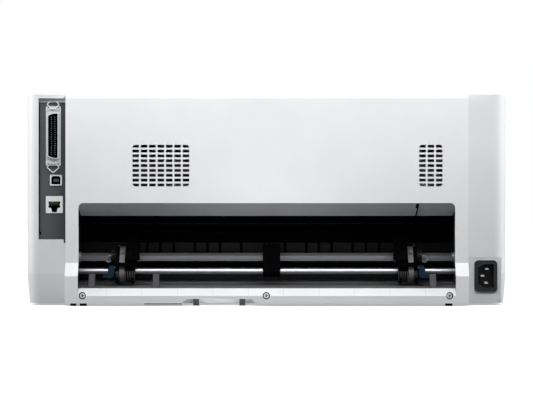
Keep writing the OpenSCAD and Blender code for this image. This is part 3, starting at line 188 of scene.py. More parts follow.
M = {
    "cover": plastic("white_cover", (0.86, 0.867, 0.88), 0.42),
    "case": plastic("white_case", (0.73, 0.742, 0.76), 0.46),
    "tray": plastic("white_tray", (0.66, 0.675, 0.70), 0.48),
    "guide": plastic("guide_grey", (0.60, 0.62, 0.66), 0.45),
    "panel": plastic("panel_grey", (0.075, 0.08, 0.09), 0.4),
    "button": plastic("button_grey", (0.55, 0.57, 0.61), 0.4),
    "black": plastic("black_plastic", (0.007, 0.007, 0.008), 0.4, vary=0.15, shine=0.25),
    "matt_black": plastic("matt_black_plastic", (0.002, 0.002, 0.0022), 0.8, vary=0.15, shine=0.02),
    "inlet": plastic("inlet_plastic", (0.017, 0.017, 0.019), 0.42, vary=0.1, shine=0.3),
    # connector plate: painted shade, darker towards one side as the light falls in its niche
    "io": shaded_sheet("io_sheet", (0.026, 0.027, 0.029), (0.088, 0.09, 0.093), 0.201, 0.226),
    "zinc": metal("zinc_sheet", (0.52, 0.54, 0.56), 0.36, (1, 1, 0.15), 240),
    "bright": metal("bright_steel", (0.50, 0.51, 0.53), 0.36, (0.05, 1, 1), 2200, 0.00001),
    "nickel": metal("nickel_plate", (0.68, 0.69, 0.70), 0.36, (1, 1, 1), 700, metallic=0.2),
    "tin": plastic("tin_plate", (0.86, 0.865, 0.87), 0.38, vary=0.02),
    "bail": metal("bail_wire", (0.82, 0.83, 0.86), 0.3, (1, 1, 1), 900, metallic=0.3),
    "screw": metal("screw_head", (0.75, 0.76, 0.78), 0.34, (1, 1, 1), 900, metallic=0.4),
    "dark_steel": metal("dark_steel", (0.10, 0.10, 0.11), 0.4, (1, 1, 1), 800, metallic=0.7),
    "wire": metal("spring_wire", (0.52, 0.53, 0.55), 0.3, (1, 1, 1), 900, metallic=0.5),
    "coated": metal("coated_sheet", (0.030, 0.030, 0.032), 0.5, (1, 1, 1), 500, metallic=0.3),
    "ledge": plastic("ledge_plastic", (0.034, 0.034, 0.035), 0.6, vary=0.1, shine=0.1),
    "rib": plastic("rib_plastic", (0.10, 0.097, 0.10), 0.5, vary=0.1, shine=0.15),
    # painted shade: darker greys for the white lower case's floor and posts, which lie in shade
    "floor": plastic("floor_painted_shade", (0.15, 0.153, 0.16), 0.5, vary=0.08, shine=0.2),
    "post": plastic("post_painted_shade", (0.06, 0.06, 0.063), 0.5, vary=0.08, shine=0.2),
    "line": plastic("line_plastic", (0.60, 0.61, 0.63), 0.5, vary=0.02),
    "square": metal("square_steel", (0.52, 0.53, 0.55), 0.38, (0.05, 1, 1), 1500, metallic=0.8),
    "motor": metal("motor_steel", (0.22, 0.23, 0.25), 0.42, (1, 1, 1), 400, metallic=0.6),
    "fins": metal("black_anodised", (0.03, 0.03, 0.033), 0.42, (1, 1, 1), 600, metallic=0.5),
    "brass": metal("brass", (0.62, 0.47, 0.20), 0.3),
    "gold": metal("gold_contacts", (0.80, 0.80, 0.50), 0.4, metallic=0.2),
    "lamp": plastic("lamp_green", (0.16, 0.42, 0.14), 0.2, shine=0.6),
    "rubber": rubber("black_rubber", (0.022, 0.022, 0.022)),
    "roller": rubber("roller_rubber", (0.045, 0.045, 0.047), 0.66),
    "acetal": plastic("acetal", (0.72, 0.70, 0.63), 0.4),
    "sprocket": plastic("sprocket_grey", (0.014, 0.014, 0.015), 0.5, shine=0.15),
    "pins": plastic("belt_plastic", (0.20, 0.20, 0.205), 0.5),
    "blue": plastic("lever_blue", (0.004, 0.020, 0.040), 0.42, shine=0.2),
    "smoke": smoked("smoked_window", (0.05, 0.055, 0.062)),
    "board": board("board_green", (0.03, 0.14, 0.075)),
    "jack": plastic("jack_grey", (0.86, 0.87, 0.87), 0.4),
}

# The finish of each CAD node
DRESS = {
    "tray": ("lower_case",),
    "case": ("upper_case", "front_table"),
    "cover": ("rear_cover", "printer_cover"),
    "nickel": ("cover_screws", "parallel_connector", "upper_bail", "lower_bail", "usb_connector"),
    "rubber": ("rubber_feet", "platen_bar", "timing_belt"),
    "smoke": ("cover_window",),
    "guide": ("left_edge_guide", "right_edge_guide", "ribbon_knob"),
    "panel": ("control_panel",),
    "button": ("pause_button", "feed_button", "eject_button", "mode_button"),
    "black": ("power_switch", "front_paper_bed", "carriage", "motor_pulley", "idler_pulley",
              "ribbon_cartridge"),
    "coated": ("left_side_frame", "right_side_frame", "rear_frame_plate", "carriage_rail"),
    "matt_black": ("rear_paper_guide", "left_tractor", "right_tractor", "left_flap", "right_flap",
                   "paper_support"),
    "bright": ("carriage_shaft", "tractor_rod"),
    "fins": ("print_head",),
    "motor": ("carriage_motor", "feed_motor"),
    "brass": ("feed_pinion",),
    "roller": ("front_feed_roller", "rear_feed_roller"),
    "acetal": ("link_gear", "idler_gear"),
    "square": ("tractor_shaft",),
    "pins": ("left_pin_belt", "right_pin_belt"),
    "sprocket": ("left_sprocket", "right_sprocket"),
    "blue": ("left_lock_lever", "right_lock_lever"),
    "board": ("main_board",),
    "zinc": ("power_supply",),
    "io": ("io_plate",),
    "jack": ("lan_jack",),
    "inlet": ("ac_inlet",),
}

# Width of the small round on each node's edges, in millimetres; the others take EDGE
EDGE = 0.25
EDGES = {"rear_cover": 0.4, "upper_case": 0.6, "lower_case": 0.5, "printer_cover": 0.9, "front_table": 0.6,
         "ac_inlet": 0.35, "rubber_feet": 0.5, "tractor_rod": 0.15, "main_board": 0.1}


def round_edges(obj, width, angle):
    """Rounds the edges that are sharper than the angle; the width is in millimetres."""
    edge = obj.modifiers.new("edge", "BEVEL")
    edge.width = width * MM
    edge.segments = 2
    edge.limit_method = "ANGLE"
    edge.angle_limit = math.radians(angle)
    edge.harden_normals = True


def soften(obj, width):
    """Joins the flat facets of a CAD mesh and rounds its sharp edges."""
    flat = obj.modifiers.new("flat", "DECIMATE")
    flat.decimate_type = "DISSOLVE"
    flat.angle_limit = math.radians(0.6)
    flat.delimit = {"MATERIAL"}
    round_edges(obj, width, 35)


def dress_frame():
    for finish, dressed in DRESS.items():
        for node in dressed:
            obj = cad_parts[node]
            obj.data.materials.clear()
            obj.data.materials.append(M[finish])
            soften(obj, EDGES.get(node, EDGE))


dress_frame()


# ---------------------------------------------------------------- mesh making

def along(axis, a, b, c):
    """The point that is at c along the axis ('x', 'y' or 'z') and at a and b along the two others."""
    return Vector({"x": (c, a, b), "y": (a, c, b), "z": (a, b, c)}[axis])


class Shape:
    """Collects simple solids in one mesh; all sizes given to it are in millimetres."""

    def __init__(self):
        self.mesh = bmesh.new()

    def place(self, made, where):
        bmesh.ops.transform(self.mesh, matrix=where, verts=made)

    def box(self, low, high, where=Matrix()):
        size = [h - l for l, h in zip(low, high)]
        middle = [(h + l) / 2 for l, h in zip(low, high)]
        made = bmesh.ops.create_cube(self.mesh, size=1)["verts"]
        self.place(made, where @ Matrix.Translation(middle) @ Matrix.Diagonal((*size, 1)))

    def slab(self, x, z, start, end, wide, high):
        """A box with its middle at x and z, from start to end in y."""
        self.box((x - wide / 2, start, z - high / 2), (x + wide / 2, end, z + high / 2))

    def drum(self, centre, axis, radius, length, radius2=None, sides=40, where=Matrix()):
        """A closed cylinder or cone whose middle is at centre."""
        made = bmesh.ops.create_cone(self.mesh, cap_ends=True, segments=sides, radius1=radius,
                                     radius2=radius if radius2 is None else radius2, depth=length)["verts"]
        turn = Vector(axis).to_track_quat("Z", "Y").to_matrix().to_4x4()
        self.place(made, where @ Matrix.Translation(centre) @ turn)

    def prism(self, outline, axis, start, end, where=Matrix()):
        """An outline in the two other axes, drawn out along the axis from start to end."""
        lower = [self.mesh.verts.new(where @ along(axis, a, b, start)) for a, b in outline]
        upper = [self.mesh.verts.new(where @ along(axis, a, b, end)) for a, b in outline]
        self.mesh.faces.new(lower)
        self.mesh.faces.new(list(reversed(upper)))
        for i in range(len(outline)):
            j = (i + 1) % len(outline)
            self.mesh.faces.new((lower[i], upper[i], upper[j], lower[j]))

    def frame(self, outer, inner, axis, start, end, where=Matrix()):
        """A closed ring between two outlines with as many points each, drawn out along the axis."""
        rings = [[self.mesh.verts.new(where @ along(axis, a, b, c)) for a, b in line]
                 for line, c in ((outer, start), (outer, end), (inner, end), (inner, start))]
        for k in range(4):
            near, far = rings[k], rings[(k + 1) % 4]
            for i in range(len(outer)):
                j = (i + 1) % len(outer)
                self.mesh.faces.new((near[i], near[j], far[j], far[i]))

    def tube(self, path, radius, sides=12, closed=False):
        """A round wire along a list of points."""
        points = [Vector(p) for p in path]
        count = len(points)
        rings = []
        side = None
        for i, p in enumerate(points):
            before = points[(i - 1) % count] if closed or i else p
            after = points[(i + 1) % count] if closed or i < count - 1 else p
            ahead = (after - before).normalized()
            if side is None:
                side = ahead.orthogonal().normalized()
            side = (side - ahead * side.dot(ahead)).normalized()
            up = ahead.cross(side)
            rings.append([self.mesh.verts.new(p + radius * (math.cos(t) * side + math.sin(t) * up))
                          for t in (2 * math.pi * k / sides for k in range(sides))])
        for i in range(count if closed else count - 1):
            near, far = rings[i], rings[(i + 1) % count]
            for k in range(sides):
                m = (k + 1) % sides
                self.mesh.faces.new((near[k], near[m], far[m], far[k]))
        if not closed:
            self.mesh.faces.new(list(reversed(rings[0])))
            self.mesh.faces.new(rings[-1])

    def piece(self, name, finish, slot, body, edge=0.15, smooth=40, replaces=()):
        """Makes the object, in metres, with rounded edges; it rides on that body."""
        bmesh.ops.scale(self.mesh, vec=(MM, MM, MM), verts=self.mesh.verts)
        bmesh.ops.recalc_face_normals(self.mesh, faces=self.mesh.faces)
        data = bpy.data.meshes.new(name)
        self.mesh.to_mesh(data)
        self.mesh.free()
        for face in data.polygons:
            face.use_smooth = True
        data.materials.append(M[finish])
        obj = bpy.data.objects.new(name, data)
        bpy.context.collection.objects.link(obj)
        if edge:
            round_edges(obj, edge, smooth)
        else:
            data.set_sharp_from_angle(angle=math.radians(smooth))
        if replaces:
            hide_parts(*replaces)
        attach(obj, body)
        return obj


def round_rect(w, h, r, steps=6):
    """The outline of a rectangle about the origin with round corners."""
    a, b = w / 2 - r, h / 2 - r
    points = []
    for x, y, start in ((a, b, 0), (-a, b, 90), (-a, -b, 180), (a, -b, 270)):
        turns = [math.radians(start + 90 * i / steps) for i in range(steps + 1)]
        points += [(x + r * math.cos(t), y + r * math.sin(t)) for t in turns]
    return points


def circle(radius, sides, start=0.0):
    """A circle's outline about the origin."""
    turns = [start + 2 * math.pi * i / sides for i in range(sides)]
    return [(radius * math.cos(t), radius * math.sin(t)) for t in turns]


def with_hole(outer, inner):
    """Both outlines, seen from the origin, with a point on each wherever either has a corner."""
    def cut(line, turn):
        dx, dy = math.cos(turn), math.sin(turn)
        hits = []
        for (a, b), (c, d) in zip(line, line[1:] + line[:1]):
            e, f = c - a, d - b
            cross = dx * f - dy * e
            if abs(cross) > 1e-9:
                t, u = (a * f - b * e) / cross, (a * dy - b * dx) / cross
                if t > 0 and -1e-6 <= u <= 1 + 1e-6:
                    hits.append(t)
        return dx * max(hits), dy * max(hits)
    turns = sorted({round(math.atan2(y, x), 5) for x, y in outer + inner})
    return [cut(outer, t) for t in turns], [cut(inner, t) for t in turns]


def shifted(outline, dx, dy):
    return [(x + dx, y + dy) for x, y in outline]


def mirrored(half):
    """A whole outline from the half on its +x side."""
    return half + [(-x, y) for x, y in reversed(half)]


def scaled(outline, fx, fy=None):
    return [(x * fx, y * (fx if fy is None else fy)) for x, y in outline]


def box_mm(node):
    """A CAD node's lowest and highest corners in millimetres."""
    return [[c / MM for c in corner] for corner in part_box(node)]


def rear_mm(node):
    """The middle in X and Z and the rearmost Y of a CAD node, in millimetres."""
    low, high = box_mm(node)
    return (low[0] + high[0]) / 2, (low[2] + high[2]) / 2, high[1]


# ---------------------------------------------------------------- finishes that change along a CAD piece

def paint(node, finish, test):
    """Gives the faces of a CAD node whose middle, in millimetres, passes the test another finish."""
    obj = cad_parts[node]
    data = obj.data
    if M[finish].name not in data.materials:
        data.materials.append(M[finish])
    index = data.materials.find(M[finish].name)
    for face in data.polygons:
        if test(obj.matrix_world @ face.center / MM):
            face.material_index = index


# Places and sizes of the paper drive, as the part has them, in millimetres
ROLLER_Z = 71
JOURNAL_R = 4.4
GEAR_XS = (-202, -195.2)
GUIDE_Y = 94
TRACTOR_ROD = (135, 33.1)
TRACTOR_SHAFT = (125, 47)
TRACTOR_LEAN = math.atan2(TRACTOR_SHAFT[1] - TRACTOR_ROD[1], TRACTOR_SHAFT[0] - TRACTOR_ROD[0])
PIN_PITCH = 12.7
BELT_R = 10.7
BELT_INNER_R = 9.6
RIB_R = 11.8


def paint_frame():
    """Gears and steel journals on the rollers, painted shade on the white paper floor and its posts, and the
    ledge.
    """
    for node in ("front_feed_roller", "rear_feed_roller"):
        low, high = box_mm(node)
        axis_y = (low[1] + high[1]) / 2
        paint(node, "bright", lambda p: math.hypot(p.y - axis_y, p.z - ROLLER_Z) < JOURNAL_R)
        paint(node, "acetal", lambda p: GEAR_XS[0] < p.x < GEAR_XS[1])
    paint("tractor_shaft", "acetal", lambda p: GEAR_XS[0] < p.x < GEAR_XS[1])
    paint("rear_paper_guide", "ledge", lambda p: p.y > GUIDE_Y + 0.2)
    # painted shade on the white lower case's floor and posts inside the paper opening
    paint("lower_case", "floor", lambda p: abs(p.x) < 192.2 and GUIDE_Y < p.y < 176.5 and 12 < p.z < 24)
    paint("lower_case", "post", lambda p: abs(p.x) < 187.5 and 154 < p.y < 171 and p.z > 18.5)


paint_frame()


# ---------------------------------------------------------------- tractors in the paper opening

def loop(radius, steps=14):
    """The outline round the guide rod and the square shaft, in Y and Z."""
    points = []
    for (y, z), quarter in ((TRACTOR_SHAFT, -math.pi / 2), (TRACTOR_ROD, math.pi / 2)):
        for i in range(steps + 1):
            turn = TRACTOR_LEAN + quarter + math.pi * i / steps
            points.append((y + radius * math.cos(turn), z + radius * math.sin(turn)))
    return points


def add_tractor(name, side):
    """Belt with teeth and round-tipped pins, ribbed collars, screws and wire hook of one tractor."""
    flip = Matrix.Diagonal((side, 1, 1, 1))
    (ry, rz), (sy, sz) = TRACTOR_ROD, TRACTOR_SHAFT
    body = name + "_tractor"

    low, high = box_mm(name + "_pin_belt")
    x0, x1 = sorted((abs(low[0]), abs(high[0])))
    run = (flip @ Matrix.Translation(((x0 + x1) / 2, (ry + sy) / 2, (rz + sz) / 2))
           @ Matrix.Rotation(TRACTOR_LEAN - math.pi, 4, "X"))
    belt = Shape()
    belt.frame(loop(BELT_R), loop(BELT_INNER_R), "x", *sorted((side * x0, side * x1)))
    for y, z in loop(BELT_INNER_R - 0.15, 12):
        belt.drum((side * (x0 + x1) / 2, y, z), (1, 0, 0), 0.55, x1 - x0 - 0.4, sides=10)
    for turn in (0, 180):
        for down in (-PIN_PITCH / 2, PIN_PITCH / 2):
            at = run @ Matrix.Rotation(math.radians(turn), 4, "X") @ Matrix.Translation((0, down, BELT_R))
            for up, foot, length, tip in ((0.2, 2.1, 0.5, 1.9), (0.9, 1.5, 1.2, 1.4), (1.7, 1.4, 0.45, 0.8)):
                belt.drum((0, 0, up), (0, 0, 1), foot, length, tip, sides=24, where=at)
    belt.piece(name + "_belt", "pins", "pin_white", body, 0.12, replaces=(name + "_pin_belt",))

    ribs = Shape()
    turns = [math.pi * i / 24 for i in range(25)]
    below = [(ry + RIB_R * math.cos(t), rz - RIB_R * math.sin(t)) for t in turns]
    for x in [133.2 + 2.2 * i for i in range(5)] + [149.6, 151.4]:
        ribs.prism(below, "x", *sorted((side * (x - 0.5), side * (x + 0.5))))
    for x in (137, 149.8):
        ribs.box((x - 1, sy - 1, sz + 9.8), (x + 1, sy + 3, sz + 12.3), where=flip)
    ribs.piece(name + "_ribs", "rib", "black_plastic", body, 0.2)

    fittings = Shape()
    for y, z in ((sy - 5.6, sz + 4.4), (ry + 5.8, rz + 3.2)):
        fittings.drum((152.9, y, z), (1, 0, 0), 1.9, 1.2, 1.6, sides=24, where=flip)
        fittings.box((153.2, y - 1.5, z - 0.25), (153.65, y + 1.5, z + 0.25), where=flip)
    fittings.piece(name + "_fittings", "dark_steel", "screw_steel", body, 0.12)

    hook = Shape()
    arc = [(160.2 + 2.9 * math.cos(t), 131.5, 45.0 + 3.0 * math.sin(t))
           for t in (math.radians(70 - 25 * i) for i in range(11))]
    arc = [(153.4, 130.9, 49.8), (156.5, 131.2, 49.6), (159.0, 131.4, 48.6)] + arc
    hook.tube([(side * x, y, z) for x, y, z in arc], 0.42, 10)
    hook.piece(name + "_hook", "wire", "screw_steel", body, 0)


add_tractor("right", 1)
add_tractor("left", -1)


def add_paper_way():
    """The round edge of the paper slit with a painted highlight, the ribbed apron below it, and a black
    strip that is the painted shade of the slot in the lip above.
    """
    # a real round edge, given a grey lighter than the black round it as a painted highlight
    edge = Shape()
    ends = [(-182.5, 79.7), (-180.5, 80.6), (180.5, 80.6), (182.5, 79.7)]
    edge.tube([(x, GUIDE_Y + 0.35, z) for x, z in ends], 0.35, 10)
    edge.piece("slit_edge_highlight", "ledge", "black_plastic", "body", 0)
    apron = Shape()
    apron.box((-191.5, GUIDE_Y + 0.02, 20.5), (191.5, GUIDE_Y + 0.7, 34.5))
    for x in range(-178, 178, 31):
        apron.box((x, GUIDE_Y + 0.5, 20.6), (x + 1.2, GUIDE_Y + 1.6, 34))
    apron.piece("lower_apron", "ledge", "black_plastic", "body", 0.2)
    # painted shade: a thin black strip on the lip where the slot's dark inside shows
    slot = Shape()
    slot.prism([(176.2, 101.2), (140.4, 88.7), (140.4, 88.2), (176.2, 100.5)], "x", -151.3, -150.2)
    slot.prism([(176.2, 101.2), (165, 97.3), (165, 96.8), (176.2, 100.5)], "x", -151.3, -148.6)
    slot.piece("lip_slot_shade", "matt_black", "black_plastic", "body", 0)


add_paper_way()


# ---------------------------------------------------------------- screws and mould lines of the rear cover

def cross(arm, width, count):
    """A plus sign as an outline with the same number of points as a circle of that count."""
    half = width / 2
    corners = [(arm, half), (half, half), (half, arm), (-half, arm), (-half, half), (-arm, half),
               (-arm, -half), (-half, -half), (-half, -arm), (half, -arm), (half, -half), (arm, -half)]
    points = []
    share = count // len(corners)
    for (a, b), (c, d) in zip(corners, corners[1:] + corners[:1]):
        points += [(a + (c - a) * i / share, b + (d - b) * i / share) for i in range(share)]
    return points


def add_screws():
    """Pan heads with a cross recess, each on a black disc that is painted shade in the gap round the head.
    """
    low, high = box_mm("cover_screws")
    seat = high[1] - 1.8
    z = (low[2] + high[2]) / 2
    count = 48
    ring = circle(1, count, math.atan2(1, 4))
    recess = cross(1.6, 0.7, count)
    heads = Shape()
    gap_shades = Shape()
    for x in (low[0] + 3, 0.2, high[0] - 3):
        tilt = Matrix.Translation((x, 0, z)) @ Matrix.Rotation(math.radians(17 + x), 4, "Y")
        for radius, near, far in ((2.6, 0, 1.2), (2.35, 1.1, 1.55), (1.95, 1.5, 1.75)):
            heads.frame(scaled(ring, radius), recess, "y", seat + near, seat + far, tilt)
        # painted shade: a black disc round the head where the pocket's gap lies in shade
        gap_shades.drum((x, seat + 0.3, z), (0, 1, 0), 3.62, 0.6, sides=48)
    heads.piece("screw_heads", "screw", "screw_steel", "body", 0, replaces=("cover_screws",))
    gap_shades.piece("screw_gap_shade", "matt_black", "black_plastic", "body", 0.05)


add_screws()


def add_mould_lines():
    """Faint joint lines across the slope of the bar under the opening."""
    lines = Shape()
    for i in range(10):
        x = 158.2 - 35.02 * i
        lines.prism([(177.6, 17.36), (184.9, 10.55), (184.9, 10.3), (177.6, 17.1)], "x", x - 0.14, x + 0.14)
    lines.piece("bar_lines", "line", "case_white", "body", 0)


add_mould_lines()


# ---------------------------------------------------------------- connectors on the rear

EAR_UP = 27
CONTACT_PITCH = 2.2
PHONE_PITCH = 1.02


def add_parallel():
    """Flange, D-shaped shell, black insert with its contacts, and the two wire bails."""
    x, z, rear = rear_mm("parallel_connector")
    back = rear - 6
    corners = [(s, t) for s in (-1, 1) for t in (-1, 1)]
    dee = [(-5.6, -22.2), (-4.6, -23.1), (-0.2, -22.7), (4.6, -21.2), (5.6, -20.0),
           (5.6, 20.0), (4.6, 21.2), (-0.2, 22.7), (-4.6, 23.1), (-5.6, 22.2)]

    def ring(shape, outer, inner, near, far):
        shape.frame(shifted(outer, x, z), shifted(inner, x, z), "y", back + near, back + far)

    shell = Shape()
    ring(shell, *with_hole(round_rect(14.9, 59.6, 1.2), scaled(dee, 0.99)), 0.15, 1.5)
    ring(shell, dee, scaled(dee, 0.84, 0.965), -9, 6)
    ring(shell, scaled(dee, 1.12, 1.03), dee, 1.4, 2.1)
    for s, t in corners:
        shell.drum((x + t * 5.6, back + 1.7, z + s * 26.6), (0, 1, 0), 1.1, 0.7, sides=20)
        shell.slab(x + t * 3.3, z + s * EAR_UP, back + 1.2, back + 4.9, 1.3, 2.8)
    shell.piece("parallel_shell", "nickel", "screw_steel", "body", 0.2, replaces=("parallel_connector",))

    insert = Shape()
    insert.prism(shifted(scaled(dee, 0.83, 0.96), x, z), "y", back - 9.5, back - 3.6)
    ring(insert, scaled(dee, 0.838, 0.964), scaled(dee, 0.79, 0.95), -4, 5.6)
    for s, t in corners:
        insert.slab(x + t * 4.9, z + s * 28.3, back + 1.3, back + 1.75, 1.1, 1.0)
        insert.slab(x + t * 1.1, z + s * 26.6, back + 1.3, back + 1.7, 0.8, 1.8)
    insert.slab(x, z, back - 9, back + 4.3, 2.4, 40.8)
    for s in (-1, 1):
        for i in range(17):
            middle = z + (i - 8) * CONTACT_PITCH
            insert.slab(x + s * 1.25, middle, back - 6, back + 3.6, 0.6, 0.7)
            insert.slab(x + s * 3.7, middle, back - 6, back + 2.6, 1.2, 0.6)
    insert.piece("parallel_insert", "matt_black", "black_plastic", "body", 0.08)

    contacts = Shape()
    for s in (-1, 1):
        for i in range(18):
            contacts.slab(x + s * 1.75, z + (i - 8.5) * CONTACT_PITCH, back - 6, back + 4, 0.44, 0.6)
    contacts.piece("parallel_contacts", "wire", "pinion_brass", "body", 0.05)

    half = [(4.0, 0), (3.6, 1.2), (3.8, 2.0), (5.8, 4.2), (5.8, 4.8), (0.9, 9.1), (0.3, 9.3)]
    path = mirrored(half) + [(-2.4, 0), (2.4, 0)]
    for name, s in (("upper_bail", 1), ("lower_bail", -1)):
        wire = Shape()
        wire.tube([(x + a, back + 3.4, z + s * (EAR_UP + b)) for a, b in path], 0.5, 12, True)
        wire.piece(name + "_wire", "bail", "screw_steel", name, 0, replaces=(name,))


def socket(rim, hole, place, depth, floor, liner):
    """A socket's body and its black lining, as two shapes; place is its middle and its rear face."""
    x, z, face = place
    lines = (rim, hole, scaled(hole, 1.06), scaled(hole, liner))
    rim, hole, wide, inner = (shifted(line, x, z) for line in lines)
    shell = Shape()
    shell.frame(rim, wide, "y", face - depth, face - 0.8)
    shell.frame(rim, hole, "y", face - 1.0, face)
    lining = Shape()
    lining.prism(hole, "y", face - depth + 0.5, face - floor)
    lining.frame(wide, inner, "y", face - depth + 0.4, face - 1.0)
    return shell, lining


def add_usb():
    """The square data socket: plated shell, black core, tongue and four contacts."""
    x, z, face = rear_mm("usb_connector")
    hole = mirrored([(4.5, -4.1), (4.5, 2.3), (4.3, 3.1), (3.0, 4.1), (2.2, 4.2)])
    rim = mirrored([(6, -5.4), (6, 3.0), (6, 4.6), (5.6, 5.4), (2.4, 5.4)])
    shell, core = socket(rim, hole, (x, z, face), 14, 8.5, 0.97)
    shell.piece("usb_shell", "tin", "screw_steel", "body", 0.25, replaces=("usb_connector",))
    core.piece("usb_core", "matt_black", "black_plastic", "body", 0.12)
    tongue = Shape()
    tongue.box((x - 2.5, face - 9, z - 1.5), (x + 2.5, face - 2.2, z + 1.2))
    tongue.piece("usb_tongue", "rib", "black_plastic", "body", 0.15)
    leaves = Shape()
    for a in (-1.3, 1.3):
        for b in (-1.55, 1.25):
            leaves.slab(x + a, z + b, face - 8.6, face - 2.8, 0.9, 0.3)
    leaves.piece("usb_contacts", "dark_steel", "pinion_brass", "body", 0.05)


def add_lan():
    """The network jack: stepped opening, black comb and eight gilt contacts."""
    x, z, face = rear_mm("lan_jack")
    hole = mirrored([(5.9, 3.2), (5.9, 1.2), (5.3, 0.6), (5.3, -0.4),
                     (5.9, -1.0), (5.9, -3.0), (3.3, -3.4), (2.4, -7.6)])
    rim = mirrored([(8.5, 8.45), (8.5, 1.4), (8.5, 0.6), (8.5, -0.4),
                    (8.5, -1.2), (8.5, -8.45), (4.2, -8.45), (2.4, -8.45)])
    jack, inside = socket(rim, hole, (x, z, face), 16, 11, 0.98)
    jack.piece("lan_body", "jack", "jack_grey", "body", 0.2, replaces=("lan_jack",))
    for i in range(9):
        inside.slab(x + (i - 4) * PHONE_PITCH, z + 2.35, face - 9, face - 1.6, 0.24, 1.5)
    inside.piece("lan_inside", "matt_black", "black_plastic", "body", 0.05)
    leaves = Shape()
    bend = [(face - 1.3, z + 2.7), (face - 2.2, z + 2.4), (face - 9.5, z - 1.2)]
    for i in range(8):
        leaves.tube([(x + (i - 3.5) * PHONE_PITCH, y, up) for y, up in bend], 0.32, 8)
    leaves.piece("lan_contacts", "gold", "pinion_brass", "body", 0)


def add_inlet():
    """The chamfered lip and the three flat pins of the mains inlet."""
    x, z, face = rear_mm("ac_inlet")
    lip = Shape()
    well = [(-7.9, -11.75), (2.3, -11.75), (7.9, -8.2), (7.9, 8.2), (2.3, 11.75), (-7.9, 11.75)]
    wide = [(-9.0, -12.85), (2.8, -12.85), (9.0, -8.8), (9.0, 8.8), (2.8, 12.85), (-9.0, 12.85)]
    lip.frame(shifted(wide, x, z), shifted(well, x, z), "y", face - 0.4, face + 0.35)
    lip.piece("inlet_lip", "inlet", "inlet_black", "body", 0.25)
    pins = Shape()
    blade, tip = round_rect(4.1, 2.1, 0.5, 3), round_rect(3.5, 1.5, 0.4, 3)
    for a, b in ((-1.2, 7), (3, 0), (-0.5, -7)):
        pins.prism(shifted(blade, x + a, z + b), "y", face - 16.5, face - 3.6)
        pins.prism(shifted(tip, x + a, z + b), "y", face - 3.7, face - 2.6)
    pins.piece("inlet_pins", "nickel", "screw_steel", "body", 0.2)


def add_plate_edge():
    """The dark joint between the connector plate and the side of its window."""
    front = box_mm("io_plate")[0][1] + 1.3
    joint = Shape()
    joint.box((226.7, front, 70.5), (227.35, front + 0.9, 199))
    joint.box((225.6, front, 70.5), (226.8, front + 0.7, 73.2))
    joint.piece("plate_joint", "matt_black", "black_plastic", "body", 0.05)


add_parallel()
add_usb()
add_lan()
add_inlet()
add_plate_edge()


# ---------------------------------------------------------------- front, panel and covers

SLOPE = math.atan2(90.7, 128)
SLOPE_MIDDLE = (-53.65, 164.65)
BUTTON_PITCH = 22
BUTTON_X = 219.9
TENTH_INCH = 2.54


def on_slope(x, climb):
    """Moves a drawing onto the sloping front, at x and so far up the slope from its middle."""
    return (Matrix.Translation((x, *SLOPE_MIDDLE)) @ Matrix.Rotation(SLOPE, 4, "X")
            @ Matrix.Translation((0, climb, 0)))


def add_lens(lamp, radius, tip, where):
    """A short drum with a domed top."""
    lamp.drum((0, 0, 0.1), (0, 0, 1), radius, 0.7, sides=32, where=where)
    lamp.drum((0, 0, 0.6), (0, 0, 1), radius, 0.35, tip, sides=32, where=where)


def add_panel():
    """Lamp lenses, a raised rim round the panel and a tactile bar on each button."""
    low, high = box_mm("control_panel")
    x, w = (low[0] + high[0]) / 2, high[0] - low[0]
    lamps = Shape()
    for i in range(4):
        add_lens(lamps, 1.3, 0.8, on_slope(x, (i - 1.5) * BUTTON_PITCH))
    lamps.piece("panel_lamps", "lamp", "panel_grey", "body", 0.08)
    power = Shape()
    add_lens(power, 1.8, 1.0, on_slope(x, 2 * BUTTON_PITCH))
    power.piece("power_lamp", "lamp", "panel_grey", "body", 0.08)
    rim = Shape()
    rim.frame(round_rect(w - 1.4, 115.4, 2), round_rect(w - 2.6, 114.2, 1.6), "z", 0.2, 0.55, on_slope(x, 0))
    rim.piece("panel_rim", "panel", "panel_grey", "body", 0.08)
    for i, name in enumerate(("pause", "feed", "eject", "mode")):
        bar = Shape()
        bar.prism(round_rect(7, 1.3, 0.6, 4), "z", 2.7, 3.05, on_slope(BUTTON_X, (i - 2) * BUTTON_PITCH))
        bar.piece(name + "_mark", "button", "button_grey", name + "_button", 0.08)


def add_switch():
    """Grip ribs on both ends of the rocker, which leans 1.5 mm over 11 mm."""
    low, high = box_mm("power_switch")
    x = (low[0] + high[0]) / 2
    ribs = Shape()
    for z in (53.2, 55.2, 57.2, 66.8, 68.8, 70.8):
        y = -142.5 + (z - 51) * 1.5 / 11
        ribs.box((x - 5.5, y - 0.25, z - 0.4), (x + 5.5, y + 0.5, z + 0.4))
    ribs.piece("switch_ribs", "black", "black_plastic", "power_switch", 0.1)


def add_window_rim():
    """The dark glued border round the window and the finger rib at the cover's front edge."""
    low, high = box_mm("cover_window")
    x, w = (low[0] + high[0]) / 2, high[0] - low[0]
    rim = Shape()
    length = math.hypot(high[1] - low[1], high[2] - low[2])
    outer, inner = round_rect(w - 0.8, length - 3.2, 1), round_rect(w - 9, length - 11, 3)
    rim.frame(outer, inner, "z", -0.72, -0.45, on_slope(x, 0))
    rim.piece("window_border", "matt_black", "smoke_window", "cover", 0.05)
    grip = Shape()
    for i in range(7):
        grip.prism(round_rect(46, 0.8, 0.38, 4), "z", -0.6, -0.18, on_slope(x, -62 - i * 1.6))
    grip.piece("cover_grip", "cover", "case_white", "cover", 0.05)


